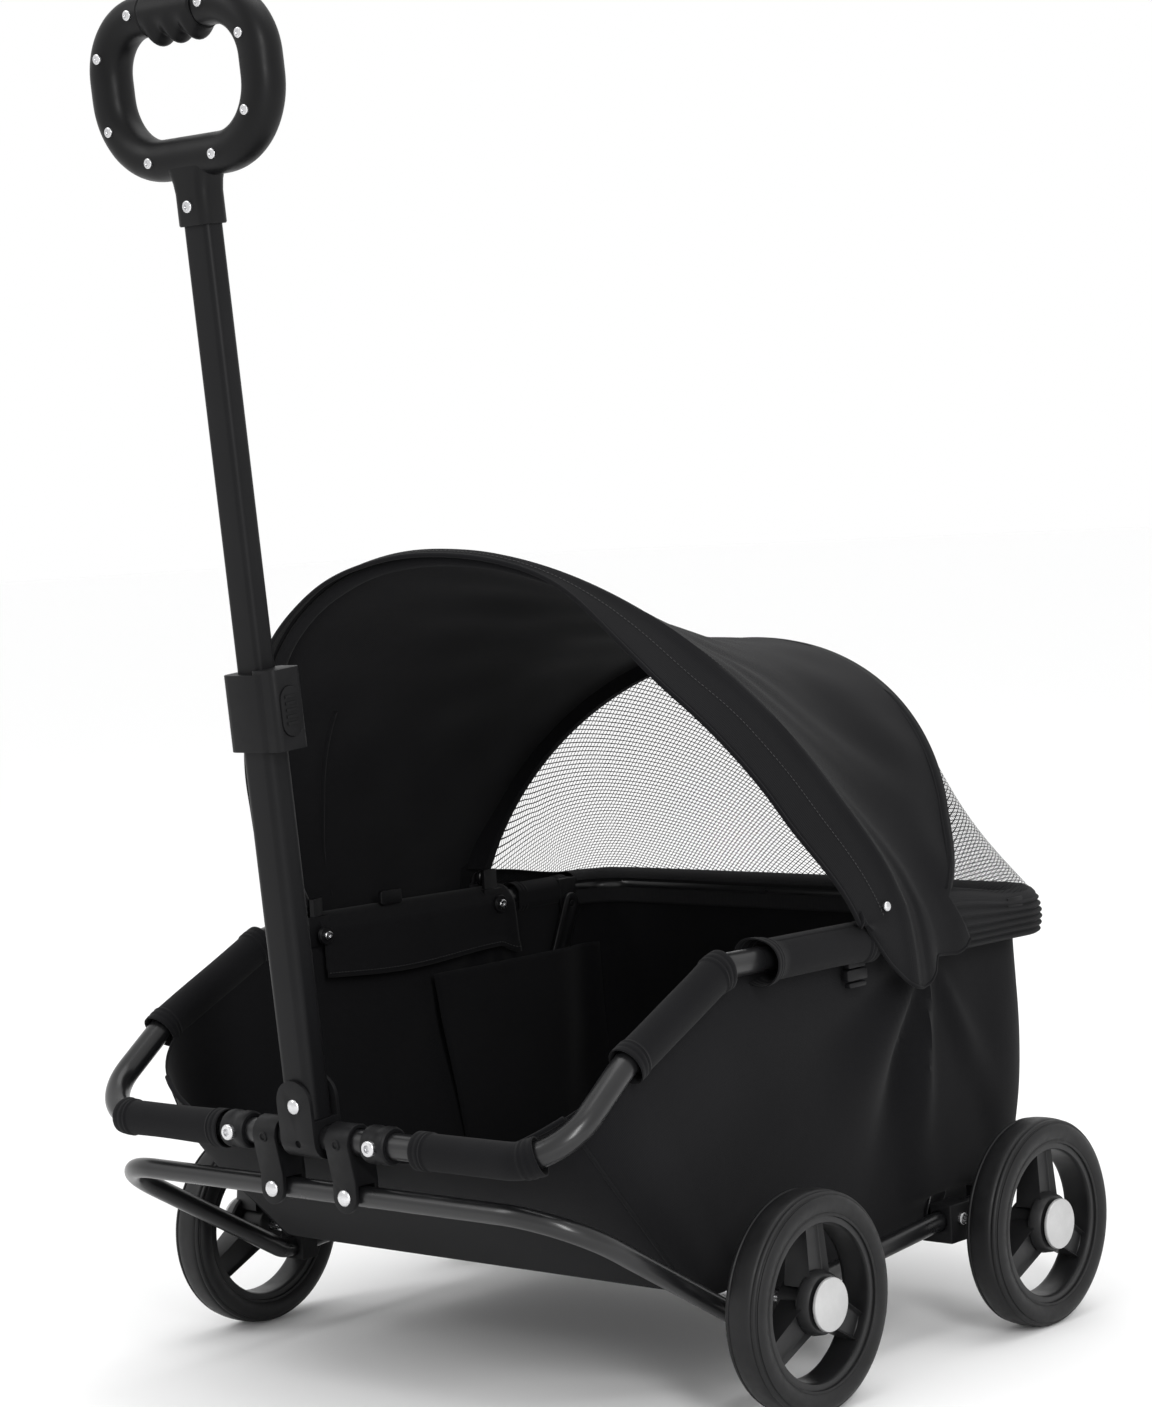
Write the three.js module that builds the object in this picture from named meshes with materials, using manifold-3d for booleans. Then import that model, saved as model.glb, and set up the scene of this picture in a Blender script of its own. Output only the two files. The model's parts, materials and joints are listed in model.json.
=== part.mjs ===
// Folding four-wheel pet stroller with a telescopic pull handle, a fabric basket and a two-bow canopy.
// Millimetres, +Z up. +X is the stroller's right side seen from behind the handle's far end,
// -Y is the front, where the handle stands. The origin is on the ground under the middle.
import * as THREE from 'three';
import { mergeVertices } from 'three/addons/utils/BufferGeometryUtils.js';
import Module from 'manifold-3d';

const wasm = await Module();
wasm.setup();

// ---- driving dimensions -------------------------------------------------------------------
const GAP = 0.3; // clearance between pieces that touch

const WHEEL_R = 85;
const TYRE_HALF = 17;
const FRONT_AXLE_Y = -62;
const WHEELBASE = 312;
const REAR_AXLE_Y = FRONT_AXLE_Y + WHEELBASE;
const TRACK_HALF = 298.5;
const AXLE_R = 4.5;
const HUB_R = 15;
const HUB_HALF = 19;
const RIM_OUTER_R = 65.7;

const FRAME_HALF = 247.6; // centre of every side tube
const BASE_TUBE_R = 8;
const BASE_BAR_Y = -274;
const BASE_BAR_Z = 181;
const RAIL_FRONT_Z = 72; // side rail height over the front axle
const RAIL_REAR_Z = 99; // side rail height over the rear axle
const RAIL_END_Y = 270;
const RAIL_BEND_Y = -81;

const RIM_TUBE_R = 10;
const PIVOT_Y = -279; // rim hinge and handle hinge
const PIVOT_Z = 223;
const RIM_REAR_Y = 355.8;
const RIM_REAR_Z = 333;
const RIM_REAR_BEND = 45;
const RIM_KNEE = [-202, 281];
const RIM_SHOULDER = [-84, 338];
const RIM_SPLIT_Y = -40; // the ring is made of a front and a rear tube

const POLE_LEAN = THREE.MathUtils.degToRad(4.75);
const LOWER_TUBE = [32, 24];
const UPPER_TUBE = [27, 19];
const LOWER_TUBE_SPAN = [16, 350];
const UPPER_TUBE_SPAN = [300, 715];
const COLLAR_SPAN = [298, 356];
const COLLAR_SIZE = [46, 34];
const NECK_BOTTOM = 688;
const HANDLE_MIDDLE = 791;
const HANDLE_WIDTH = 160; // of the loop's centre line
const HANDLE_HEIGHT = 106;
const HANDLE_R = 16;
const GRIP_HALF = 29;

const BOW_R = 3.5;
const BOW_PIVOT_Z = 358;
// each bow: where its left and right feet are pinned, and the middle of its arch
const FRONT_BOW = { leftY: -29, rightY: 131, apexY: -109, apexZ: 653 };
const MID_BOW = { leftY: 193, rightY: 193, apexY: 285, apexZ: 557 };
const CANOPY_OFFSET = 7.5; // from a bow's centre line to the fabric's inner face
const CANOPY_THICKNESS = 2.4;

const PROP_TOP = [295, 322]; // pivot on the rim
const PROP_FOOT = [195, 95.5]; // where it stands on the side rail
const PROP_X = 233;

const BASKET_HALF = 229;
const BASKET_WALL = 3;
const BASKET_FLOOR_Z = 92;

// ---- materials ------------------------------------------------------------------------------
function material(color, roughness, metalness = 0) {
  return new THREE.MeshStandardMaterial({ color, roughness, metalness });
}

const PAINT = material(0x0c0c0d, 0.3, 0.4);
const STEEL = material(0xc9cacc, 0.3, 1);
const PLASTIC = material(0x141415, 0.5);
const GRIP_RUBBER = material(0x121213, 0.65);
const TYRE = material(0x161617, 0.8);
const FABRIC = material(0x101012, 0.9);
const MESH_FABRIC = material(0x1a1a1c, 0.9);
const PAD_FABRIC = material(0x1c1c1f, 0.95);
const BOARD = material(0x242426, 0.8);

const stroller = new THREE.Group();

function add(name, geometry, look, matrix = null) {
  const mesh = new THREE.Mesh(geometry, look);
  mesh.name = name;
  if (matrix) mesh.applyMatrix4(matrix);
  stroller.add(mesh);
  return mesh;
}

// ---- solids: joins and cuts ---------------------------------------------------------------------
function solid(geometry) {
  const bare = geometry.clone();
  bare.deleteAttribute('normal');
  bare.deleteAttribute('uv');
  const welded = mergeVertices(bare, 1e-3);
  const mesh = new wasm.Mesh({
    numProp: 3,
    vertProperties: new Float32Array(welded.attributes.position.array),
    triVerts: new Uint32Array(welded.index.array),
  });
  mesh.merge();
  return new wasm.Manifold(mesh);
}

function geometryOf(manifold) {
  const mesh = manifold.getMesh();
  const geometry = new THREE.BufferGeometry();
  geometry.setAttribute('position', new THREE.BufferAttribute(new Float32Array(mesh.vertProperties), 3));
  geometry.setIndex(new THREE.BufferAttribute(new Uint32Array(mesh.triVerts), 1));
  geometry.computeVertexNormals();
  return geometry;
}

// joins the first list of geometries, then cuts the second list from them
function carve(joined, cuts = []) {
  let result = joined.map(solid).reduce((a, b) => a.add(b));
  for (const cut of cuts) result = result.subtract(solid(cut));
  return geometryOf(result);
}

function common(a, b) {
  return geometryOf(solid(a).intersect(solid(b)));
}

// ---- basic shapes -----------------------------------------------------------------------------
function block(low, high) {
  const geometry = new THREE.BoxGeometry(high[0] - low[0], high[1] - low[1], high[2] - low[2]);
  return geometry.translate((high[0] + low[0]) / 2, (high[1] + low[1]) / 2, (high[2] + low[2]) / 2);
}

function rod(radius, from, to, sides = 20) {
  const start = new THREE.Vector3(...from);
  const along = new THREE.Vector3(...to).sub(start);
  const geometry = new THREE.CylinderGeometry(radius, radius, along.length(), sides);
  geometry.translate(0, along.length() / 2, 0);
  geometry.applyQuaternion(
    new THREE.Quaternion().setFromUnitVectors(new THREE.Vector3(0, 1, 0), along.clone().normalize()),
  );
  return geometry.translate(start.x, start.y, start.z);
}

function polygon(points) {
  return new THREE.Shape(points.map(([a, b]) => new THREE.Vector2(a, b)));
}

function circle(radius, sides, [x, y] = [0, 0]) {
  const points = [];
  for (let i = 0; i < sides; i += 1) {
    const angle = (i / sides) * 2 * Math.PI;
    points.push([x + radius * Math.cos(angle), y + radius * Math.sin(angle)]);
  }
  return polygon(points);
}

// rectangle of the given size with rounded corners, centred on x, y
function roundedRectangle(width, depth, radius, [x, y] = [0, 0], arcSteps = 4) {
  const points = [];
  const corners = [[1, 1, 0], [-1, 1, 90], [-1, -1, 180], [1, -1, 270]];
  for (const [sx, sy, start] of corners) {
    for (let i = 0; i <= arcSteps; i += 1) {
      const angle = THREE.MathUtils.degToRad(start + (90 * i) / arcSteps);
      points.push([
        x + sx * (width / 2 - radius) + radius * Math.cos(angle),
        y + sy * (depth / 2 - radius) + radius * Math.sin(angle),
      ]);
    }
  }
  return polygon(points);
}

function extrude(shape, depth) {
  return new THREE.ExtrudeGeometry(shape, { depth, bevelEnabled: false });
}

// a shape drawn in the Y-Z plane, extruded along X between two planes
function sideProfile(shape, xFrom, xTo) {
  const basis = new THREE.Matrix4().makeBasis(
    new THREE.Vector3(0, 1, 0),
    new THREE.Vector3(0, 0, 1),
    new THREE.Vector3(1, 0, 0),
  );
  return extrude(shape, xTo - xFrom).applyMatrix4(basis).translate(xFrom, 0, 0);
}

// closed ring turned about X; the profile is a list of (radius, x), counter-clockwise
function ringAboutX(profile, segments) {
  const points = [...profile, profile[0]].map(([r, h]) => new THREE.Vector2(r, h));
  return new THREE.LatheGeometry(points, segments).rotateZ(-Math.PI / 2);
}

// ---- bent tubes ---------------------------------------------------------------------------------
// straight runs joined by round bends, with stations only where the direction changes
function bentStations(corners) {
  const at = corners.map(([point]) => new THREE.Vector3(...point));
  const stations = [at[0]];
  for (let i = 1; i < at.length - 1; i += 1) {
    const inward = at[i].clone().sub(at[i - 1]).normalize();
    const outward = at[i + 1].clone().sub(at[i]).normalize();
    const turn = inward.angleTo(outward);
    const radius = corners[i][1];
    const start = at[i].clone().addScaledVector(inward, -radius * Math.tan(turn / 2));
    const side = outward.clone().addScaledVector(inward, -outward.dot(inward)).normalize();
    const centre = start.clone().addScaledVector(side, radius);
    const steps = Math.max(2, Math.ceil(THREE.MathUtils.radToDeg(turn) / 15));
    for (let k = 0; k <= steps; k += 1) {
      const angle = (turn * k) / steps;
      const point = centre.clone().addScaledVector(side, -radius * Math.cos(angle));
      stations.push(point.addScaledVector(inward, radius * Math.sin(angle)));
    }
  }
  stations.push(at[at.length - 1]);
  return stations;
}

class StationPath extends THREE.Curve {
  constructor(stations) {
    super();
    this.stations = stations;
  }

  getPoint(t, target = new THREE.Vector3()) {
    const place = THREE.MathUtils.clamp(t, 0, 1) * (this.stations.length - 1);
    const i = Math.min(Math.floor(place), this.stations.length - 2);
    return target.lerpVectors(this.stations[i], this.stations[i + 1], place - i);
  }

  getUtoTmapping(u) {
    return u;
  }
}

function tubeThrough(stations, radius, sides = 12) {
  return new THREE.ExtrudeGeometry(circle(radius, sides), {
    steps: stations.length - 1,
    extrudePath: new StationPath(stations),
    bevelEnabled: false,
  });
}

function bentTube(corners, radius, sides) {
  return tubeThrough(bentStations(corners), radius, sides);
}

const railZ = (y) => RAIL_FRONT_Z + ((RAIL_REAR_Z - RAIL_FRONT_Z) * (y - FRONT_AXLE_Y)) / WHEELBASE;
const rimZ = (y) =>
  RIM_SHOULDER[1] + ((RIM_REAR_Z - RIM_SHOULDER[1]) * (y - RIM_SHOULDER[0])) / (RIM_REAR_Y - RIM_SHOULDER[0]);

// ---- base frame -----------------------------------------------------------------------------------
const BRACKET_X = 39;
const BRACKET_HALF = 12;
const RIVET_R = 3.5;

function baseTube() {
  const side = (s) => [
    [[s * FRAME_HALF, RAIL_END_Y, railZ(RAIL_END_Y)], 0],
    [[s * FRAME_HALF, RAIL_BEND_Y, railZ(RAIL_BEND_Y)], 26],
    [[s * FRAME_HALF, BASE_BAR_Y, BASE_BAR_Z], 62],
  ];
  const tube = bentTube([...side(-1), ...side(1).reverse()], BASE_TUBE_R, 12);
  const rivetHoles = [-1, 1].map((s) =>
    crossHole(s * BRACKET_X, BASE_BAR_Y, BASE_BAR_Z, RIVET_R + GAP),
  );
  return carve([tube], rivetHoles);
}

function axle(y) {
  const reach = TRACK_HALF + HUB_HALF;
  return rod(AXLE_R, [-reach, y, WHEEL_R], [reach, y, WHEEL_R], 18);
}

// moulded block that holds an axle against the side rail
function axleBlock(s, y) {
  const x = s * FRAME_HALF;
  const z = railZ(y);
  const low = [x - 12.5, y - 9, Math.min(z - 11.5, WHEEL_R - 9)];
  const high = [x + 12.5, y + 9, Math.max(z + 11.5, WHEEL_R + 9)];
  const rail = rod(BASE_TUBE_R + GAP, [x, y - 40, railZ(y - 40)], [x, y + 40, railZ(y + 40)], 12);
  const hole = rod(AXLE_R + GAP, [x - 20, y, WHEEL_R], [x + 20, y, WHEEL_R], 18);
  return carve([block(low, high)], [rail, hole]);
}

// a hole from front to back at one place of a bar
function crossHole(x, y, z, radius) {
  return rod(radius, [x, y - 30, z], [x, y + 30, z], 12);
}

// strap round the rim's front bar, with two legs riveted to the base's front bar
function hingeBracket(s) {
  const ring = circle(RIM_TUBE_R + GAP + 3.7, 16, [PIVOT_Y, PIVOT_Z]);
  const legs = polygon([
    [PIVOT_Y - 14, PIVOT_Z],
    [BASE_BAR_Y - 12.5, BASE_BAR_Z + 12],
    [BASE_BAR_Y - 12.5, BASE_BAR_Z - 12],
    [BASE_BAR_Y + 12.5, BASE_BAR_Z - 12],
    [BASE_BAR_Y + 12.5, BASE_BAR_Z + 12],
    [PIVOT_Y + 14, PIVOT_Z],
  ]);
  const from = s * BRACKET_X - BRACKET_HALF;
  const to = s * BRACKET_X + BRACKET_HALF;
  const bore = sideProfile(circle(RIM_TUBE_R + GAP, 24, [PIVOT_Y, PIVOT_Z]), from - 1, to + 1);
  const slot = block(
    [from - 1, BASE_BAR_Y - BASE_TUBE_R - GAP, BASE_BAR_Z - 13],
    [to + 1, BASE_BAR_Y + BASE_TUBE_R + GAP, BASE_BAR_Z + BASE_TUBE_R + 1],
  );
  const rivet = crossHole(s * BRACKET_X, BASE_BAR_Y, BASE_BAR_Z, RIVET_R + GAP);
  const body = carve([sideProfile(ring, from, to), sideProfile(legs, from, to)], [bore, slot, rivet]);
  return common(body, bracketOutline(s));
}

// front view of a bracket: full width at the strap, round at the rivet end
function bracketOutline(s) {
  const points = [];
  for (let i = 0; i <= 12; i += 1) {
    const angle = Math.PI + (Math.PI * i) / 12;
    const x = s * BRACKET_X + BRACKET_HALF * Math.cos(angle);
    points.push([x, BASE_BAR_Z + BRACKET_HALF * Math.sin(angle)]);
  }
  points.push([s * BRACKET_X + BRACKET_HALF, PIVOT_Z + 20], [s * BRACKET_X - BRACKET_HALF, PIVOT_Z + 20]);
  return frontProfile(polygon(points), PIVOT_Y - 40, PIVOT_Y + 40);
}

// a shape drawn in the X-Z plane, extruded along Y between two planes
function frontProfile(shape, yFrom, yTo) {
  return extrude(shape, yTo - yFrom).rotateX(Math.PI / 2).translate(0, yTo, 0);
}

function rivet(x, y, z, grip, headRadius) {
  const head = rod(headRadius, [x, y - grip - GAP - 2.6, z], [x, y - grip - GAP, z], 14);
  const shank = rod(RIVET_R, [x, y - grip - 1, z], [x, y + grip + 1, z], 12);
  const tail = rod(headRadius - 1, [x, y + grip + GAP, z], [x, y + grip + GAP + 2, z], 12);
  return carve([head, shank, tail]);
}

// clip round a side rail with a shelf that a prop's foot stands on
function propSeat(s) {
  const x = s * FRAME_HALF;
  const [y] = PROP_FOOT;
  const inner = s * (PROP_X - 2.7);
  const outer = s * (FRAME_HALF + 13.5);
  const low = [Math.min(inner, outer), y - 14, railZ(y) - 19];
  const high = [Math.max(inner, outer), y + 14, railZ(y) + 12.5];
  const rail = rod(BASE_TUBE_R + GAP, [x, y - 40, railZ(y - 40)], [x, y + 40, railZ(y + 40)], 14);
  const shelfTop = PROP_FOOT[1] - 11;
  const pocketSide = s * (FRAME_HALF - BASE_TUBE_R - 1);
  const pocket = block(
    [Math.min(inner - s * 2, pocketSide), y - 20, shelfTop],
    [Math.max(inner - s * 2, pocketSide), y + 20, high[2] + 5],
  );
  return carve([block(low, high)], [rail, pocket]);
}

function seatBolt(s) {
  const [y] = PROP_FOOT;
  const face = FRAME_HALF + 13.5 + GAP;
  return rod(5, [s * face, y, railZ(y)], [s * (face + 3), y, railZ(y)], 18);
}

function buildBase() {
  add('base_tube', baseTube(), PAINT);
  add('axle_front', axle(FRONT_AXLE_Y), STEEL);
  add('axle_rear', axle(REAR_AXLE_Y), STEEL);
  for (const [side, s] of [['r', 1], ['l', -1]]) {
    add(`axle_block_front_${side}`, axleBlock(s, FRONT_AXLE_Y), PLASTIC);
    add(`axle_block_rear_${side}`, axleBlock(s, REAR_AXLE_Y), PLASTIC);
    add(`hinge_bracket_${side}`, hingeBracket(s), PLASTIC);
    add(`bracket_rivet_${side}`, rivet(s * BRACKET_X, BASE_BAR_Y, BASE_BAR_Z, 12.5, 6.5), STEEL);
    add(`prop_seat_${side}`, propSeat(s), PLASTIC);
    add(`seat_bolt_${side}`, seatBolt(s), STEEL);
  }
}

// ---- basket, floor board and pad ------------------------------------------------------------------
function basket() {
  const outer = polygon([
    [-255, 210],
    [-112, BASKET_FLOOR_Z],
    [311, BASKET_FLOOR_Z],
    [335, 316],
    [-84, 320],
    [-200, 264],
  ]);
  const w = BASKET_WALL;
  const inner = polygon([
    [-255 + 1.6 * w, 212],
    [-112 + 0.5 * w, BASKET_FLOOR_Z + w],
    [311 - w, BASKET_FLOOR_Z + w],
    [335 - w, 400],
    [-240, 400],
  ]);
  return carve(
    [sideProfile(outer, -BASKET_HALF, BASKET_HALF)],
    [sideProfile(inner, -BASKET_HALF + w, BASKET_HALF - w)],
  );
}

function slab(halfWidth, yFrom, yTo, zFrom, zTo, radius) {
  const shape = roundedRectangle(2 * halfWidth, yTo - yFrom, radius, [0, (yFrom + yTo) / 2], 5);
  return extrude(shape, zTo - zFrom).translate(0, 0, zFrom);
}

function buildBasket() {
  const top = BASKET_FLOOR_Z + BASKET_WALL;
  add('basket', basket(), FABRIC);
  add('floor_board', slab(222, -98, 301, top + GAP, top + 4, 20), BOARD);
  add('floor_pad', slab(218, -92, 297, top + 4 + GAP, top + 24, 24), PAD_FABRIC);
}

// ---- wheels -----------------------------------------------------------------------------------------
function tyre() {
  const half = [[66, 14], [78, TYRE_HALF], [80, 15.2], [83, 14.6], [WHEEL_R, 9]];
  const profile = [...half.map(([r, x]) => [r, -x]), ...[...half].reverse()];
  return ringAboutX(profile, 30);
}

function spoke(angle) {
  const long = RIM_OUTER_R - 4;
  const bar = block([-9, -9, HUB_R - 3], [9, 9, long]);
  const pockets = [1, -1].map((side) =>
    block([side > 0 ? 6 : -10, -5.5, HUB_R + 6], [side > 0 ? 10 : -6, 5.5, long - 9]),
  );
  return carve([bar], pockets).rotateX(angle);
}

function wheelRim() {
  const band = ringAboutX([[60.5, -13], [RIM_OUTER_R, -13], [RIM_OUTER_R, 13], [60.5, 13]], 30);
  const hub = rod(HUB_R, [-HUB_HALF, 0, 0], [HUB_HALF, 0, 0], 20);
  const bore = rod(AXLE_R + GAP, [-HUB_HALF - 1, 0, 0], [HUB_HALF + 1, 0, 0], 18);
  const spokes = [0, 1, 2].map((i) => spoke((i * 2 * Math.PI) / 3));
  return carve([band, hub, ...spokes], [bore]);
}

function hubCap(s) {
  const outline = [[0, 0], [20.5, 0], [20.5, 2.2], [19, 3.4], [0, 3.4]];
  const profile = outline.map(([r, h]) => new THREE.Vector2(r, h));
  const cap = new THREE.LatheGeometry(profile, 20).rotateZ(-Math.PI / 2);
  if (s < 0) cap.rotateZ(Math.PI);
  return cap.translate(s * (HUB_HALF + GAP), 0, 0);
}

function buildWheels() {
  for (const [end, y] of [['front', FRONT_AXLE_Y], ['rear', REAR_AXLE_Y]]) {
    for (const [side, s] of [['r', 1], ['l', -1]]) {
      const place = new THREE.Matrix4().makeTranslation(s * TRACK_HALF, y, WHEEL_R);
      add(`tyre_${end}_${side}`, tyre(), TYRE, place);
      add(`wheel_${end}_${side}`, wheelRim(), PLASTIC, place);
      add(`hub_cap_${end}_${side}`, hubCap(s), STEEL, place);
    }
  }
}

// ---- rim ring and its fittings ----------------------------------------------------------------------
function rimFrontTube() {
  const side = (s) => [
    [[s * FRAME_HALF, RIM_SPLIT_Y - GAP, rimZ(RIM_SPLIT_Y)], 0],
    [[s * FRAME_HALF, ...RIM_SHOULDER], 55],
    [[s * FRAME_HALF, ...RIM_KNEE], 120],
    [[s * FRAME_HALF, PIVOT_Y, PIVOT_Z], 48],
  ];
  return bentTube([...side(-1), ...side(1).reverse()], RIM_TUBE_R, 12);
}

function rimRearTube() {
  const side = (s) => [
    [[s * FRAME_HALF, RIM_SPLIT_Y, rimZ(RIM_SPLIT_Y)], 0],
    [[s * FRAME_HALF, RIM_REAR_Y, RIM_REAR_Z], RIM_REAR_BEND],
  ];
  return bentTube([...side(-1), ...side(1).reverse()], RIM_TUBE_R, 12);
}

const COLLAR_X = 75.6;

function tubeCollar(s) {
  const x = s * COLLAR_X;
  const inner = RIM_TUBE_R + GAP;
  const profile = [[inner, -12], [13.4, -12], [14.6, -10.5], [14.6, 10.5], [13.4, 12], [inner, 12]];
  const ring = ringAboutX(profile, 24).translate(x, PIVOT_Y, PIVOT_Z);
  const hole = rod(3.2, [x, PIVOT_Y - 20, PIVOT_Z], [x, PIVOT_Y - 5, PIVOT_Z], 12);
  return carve([ring], [hole]);
}

function collarBolt(s) {
  const x = s * COLLAR_X;
  const head = rod(6.2, [x, PIVOT_Y - 18, PIVOT_Z], [x, PIVOT_Y - 14.9, PIVOT_Z], 20);
  const shank = rod(2.8, [x, PIVOT_Y - 15.5, PIVOT_Z], [x, PIVOT_Y - RIM_TUBE_R - 0.5, PIVOT_Z], 12);
  const socket = rod(2.4, [x, PIVOT_Y - 19, PIVOT_Z], [x, PIVOT_Y - 16.4, PIVOT_Z], 6);
  return carve([head, shank], [socket]);
}

// saddle on the side tube with an ear and a pin that a bow's eye turns on
function bowClip(s, bow) {
  const [left, right] = bowFeet(bow);
  const foot = s < 0 ? left : right;
  const inward = right.clone().sub(left).normalize().multiplyScalar(-s);
  const turn = Math.atan2(inward.y * -s, inward.x * -s);
  const x = foot.x;
  const z = rimZ(foot.y);
  const saddle = block([x - 12.6, foot.y - 12, z - 12.6], [x + 12.6, foot.y + 12, z + 12.6]);
  const ear = block([-2, -8, z + 8 - BOW_PIVOT_Z], [2, 8, 7])
    .rotateZ(turn)
    .translate(...foot.clone().addScaledVector(inward, 7.6).toArray());
  const pin = rod(
    2.4,
    foot.clone().addScaledVector(inward, 6).toArray(),
    foot.clone().addScaledVector(inward, -3.4).toArray(),
    12,
  );
  const [front, rear] = [foot.y - 30, foot.y + 30];
  const tube = rod(RIM_TUBE_R + GAP, [x, front, rimZ(front)], [x, rear, rimZ(rear)], 12);
  return carve([saddle, ear, pin], [tube]);
}

// bracket under the rim's rear end that a prop is pinned to
function propHanger(s) {
  const x = s * FRAME_HALF;
  const [y, z] = PROP_TOP;
  const railing = rimZ(y);
  const saddle = block([x - 12.6, y - 11, railing - 12.6], [x + 12.6, y + 11, railing + 11.6]);
  const flangeFrom = s * (PROP_X + 2.2);
  const flangeTo = s * (FRAME_HALF - 9);
  const flange = block(
    [Math.min(flangeFrom, flangeTo), y - 11, z - 11],
    [Math.max(flangeFrom, flangeTo), y + 11, railing + 4],
  );
  const pin = rod(3, [s * (PROP_X + 3), y, z], [s * (PROP_X - 2.4), y, z], 14);
  const tube = rod(RIM_TUBE_R + GAP, [x, y - 60, rimZ(y - 60)], [x, y + 60, rimZ(y + 60)], 16);
  const clearInside = block(
    [Math.min(s * (PROP_X + 2.2), s * (PROP_X - 20)), y - 30, z - 30],
    [Math.max(s * (PROP_X + 2.2), s * (PROP_X - 20)), y + 30, railing + 20],
  );
  const body = carve([saddle, flange], [tube, clearInside]);
  return carve([body, pin]);
}

function buildRim() {
  add('rim_front_tube', rimFrontTube(), PAINT);
  add('rim_rear_tube', rimRearTube(), PAINT);
  for (const [side, s] of [['r', 1], ['l', -1]]) {
    add(`tube_collar_${side}`, tubeCollar(s), PLASTIC);
    add(`collar_bolt_${side}`, collarBolt(s), STEEL);
    add(`front_bow_clip_${side}`, bowClip(s, FRONT_BOW), PLASTIC);
    add(`mid_bow_clip_${side}`, bowClip(s, MID_BOW), PLASTIC);
    add(`prop_hanger_${side}`, propHanger(s), PLASTIC);
  }
}

// ---- props that hold the rim up at the rear -----------------------------------------------------------
function prop(s) {
  const [topY, topZ] = PROP_TOP;
  const [footY, footZ] = PROP_FOOT;
  const along = new THREE.Vector2(topY - footY, topZ - footZ).normalize();
  const across = new THREE.Vector2(-along.y, along.x);
  const half = 10;
  const points = [];
  for (let i = 0; i <= 10; i += 1) {
    const angle = (Math.PI * i) / 10;
    points.push([
      topY + half * (-Math.cos(angle) * across.x + Math.sin(angle) * along.x),
      topZ + half * (-Math.cos(angle) * across.y + Math.sin(angle) * along.y),
    ]);
  }
  for (let i = 0; i <= 10; i += 1) {
    const angle = (Math.PI * i) / 10;
    points.push([
      footY + half * (Math.cos(angle) * across.x - Math.sin(angle) * along.x),
      footZ + half * (Math.cos(angle) * across.y - Math.sin(angle) * along.y),
    ]);
  }
  const from = s * PROP_X - 1.7;
  const bar = sideProfile(polygon(points), from, from + 3.4);
  const hole = rod(3 + GAP, [s * PROP_X - 5, topY, topZ], [s * PROP_X + 5, topY, topZ], 14);
  return carve([bar], [hole]);
}

function buildProps() {
  add('prop_r', prop(1), PAINT);
  add('prop_l', prop(-1), PAINT);
}

// ---- canopy -------------------------------------------------------------------------------------------
// the line that a bow turns about, from its left foot to its right foot
function bowFeet(bow) {
  return [
    new THREE.Vector3(-FRAME_HALF, bow.leftY, BOW_PIVOT_Z),
    new THREE.Vector3(FRAME_HALF, bow.rightY, BOW_PIVOT_Z),
  ];
}

// a point of a bow's arch, half an ellipse; turn runs from -90 at the left foot to 90 at the right foot
function archPoint(bow, turn, offset = 0) {
  const angle = THREE.MathUtils.degToRad(turn);
  const [left, right] = bowFeet(bow);
  const middle = left.clone().lerp(right, 0.5);
  const toFoot = right.clone().sub(middle);
  const toApex = new THREE.Vector3(0, bow.apexY, bow.apexZ).sub(middle);
  toFoot.setLength(toFoot.length() + offset);
  toApex.setLength(toApex.length() + offset);
  return middle.addScaledVector(toFoot, Math.sin(angle)).addScaledVector(toApex, Math.cos(angle));
}

function bow(shape) {
  const stations = [];
  const steps = 20;
  for (let i = 0; i <= steps; i += 1) {
    stations.push(archPoint(shape, -90 + (180 * i) / steps));
  }
  const [left, right] = bowFeet(shape);
  const along = right.clone().sub(left).normalize();
  const reach = (foot, from, to) => [
    foot.clone().addScaledVector(along, from).toArray(),
    foot.clone().addScaledVector(along, to).toArray(),
  ];
  const eyes = [left, right].map((foot) => rod(6.5, ...reach(foot, -2, 2), 16));
  const holes = [left, right].map((foot) => rod(2.4 + GAP, ...reach(foot, -9, 9), 12));
  return carve([tubeThrough(stations, BOW_R, 8), ...eyes], holes);
}

// a sheet of the given thickness through a grid of points, thickened inwards
function sheet(pointAt, across, along, thickness) {
  const outer = [];
  const inner = [];
  for (let j = 0; j <= along; j += 1) {
    for (let i = 0; i <= across; i += 1) {
      const u = i / across;
      const v = j / along;
      const e = 1e-3;
      const here = pointAt(u, v);
      const du = pointAt(Math.min(1, u + e), v).sub(pointAt(Math.max(0, u - e), v));
      const dv = pointAt(u, Math.min(1, v + e)).sub(pointAt(u, Math.max(0, v - e)));
      const normal = du.cross(dv).normalize();
      outer.push(here);
      inner.push(here.clone().addScaledVector(normal, -thickness));
    }
  }
  const index = [];
  const quad = (a, b, c, d) => index.push(a, b, c, a, c, d);
  const row = across + 1;
  const base = outer.length;
  for (let j = 0; j < along; j += 1) {
    for (let i = 0; i < across; i += 1) {
      const k = j * row + i;
      quad(k, k + 1, k + 1 + row, k + row);
      quad(base + k, base + k + row, base + k + 1 + row, base + k + 1);
    }
  }
  for (let i = 0; i < across; i += 1) {
    const top = along * row + i;
    quad(i, base + i, base + i + 1, i + 1);
    quad(top, top + 1, base + top + 1, base + top);
  }
  for (let j = 0; j < along; j += 1) {
    const left = j * row;
    const right = j * row + across;
    quad(left, left + row, base + left + row, base + left);
    quad(right, base + right, base + right + row, right + row);
  }
  const geometry = new THREE.BufferGeometry();
  const points = [...outer, ...inner].flatMap((p) => [p.x, p.y, p.z]);
  geometry.setAttribute('position', new THREE.Float32BufferAttribute(points, 3));
  geometry.setIndex(index);
  geometry.computeVertexNormals();
  return geometry;
}

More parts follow.
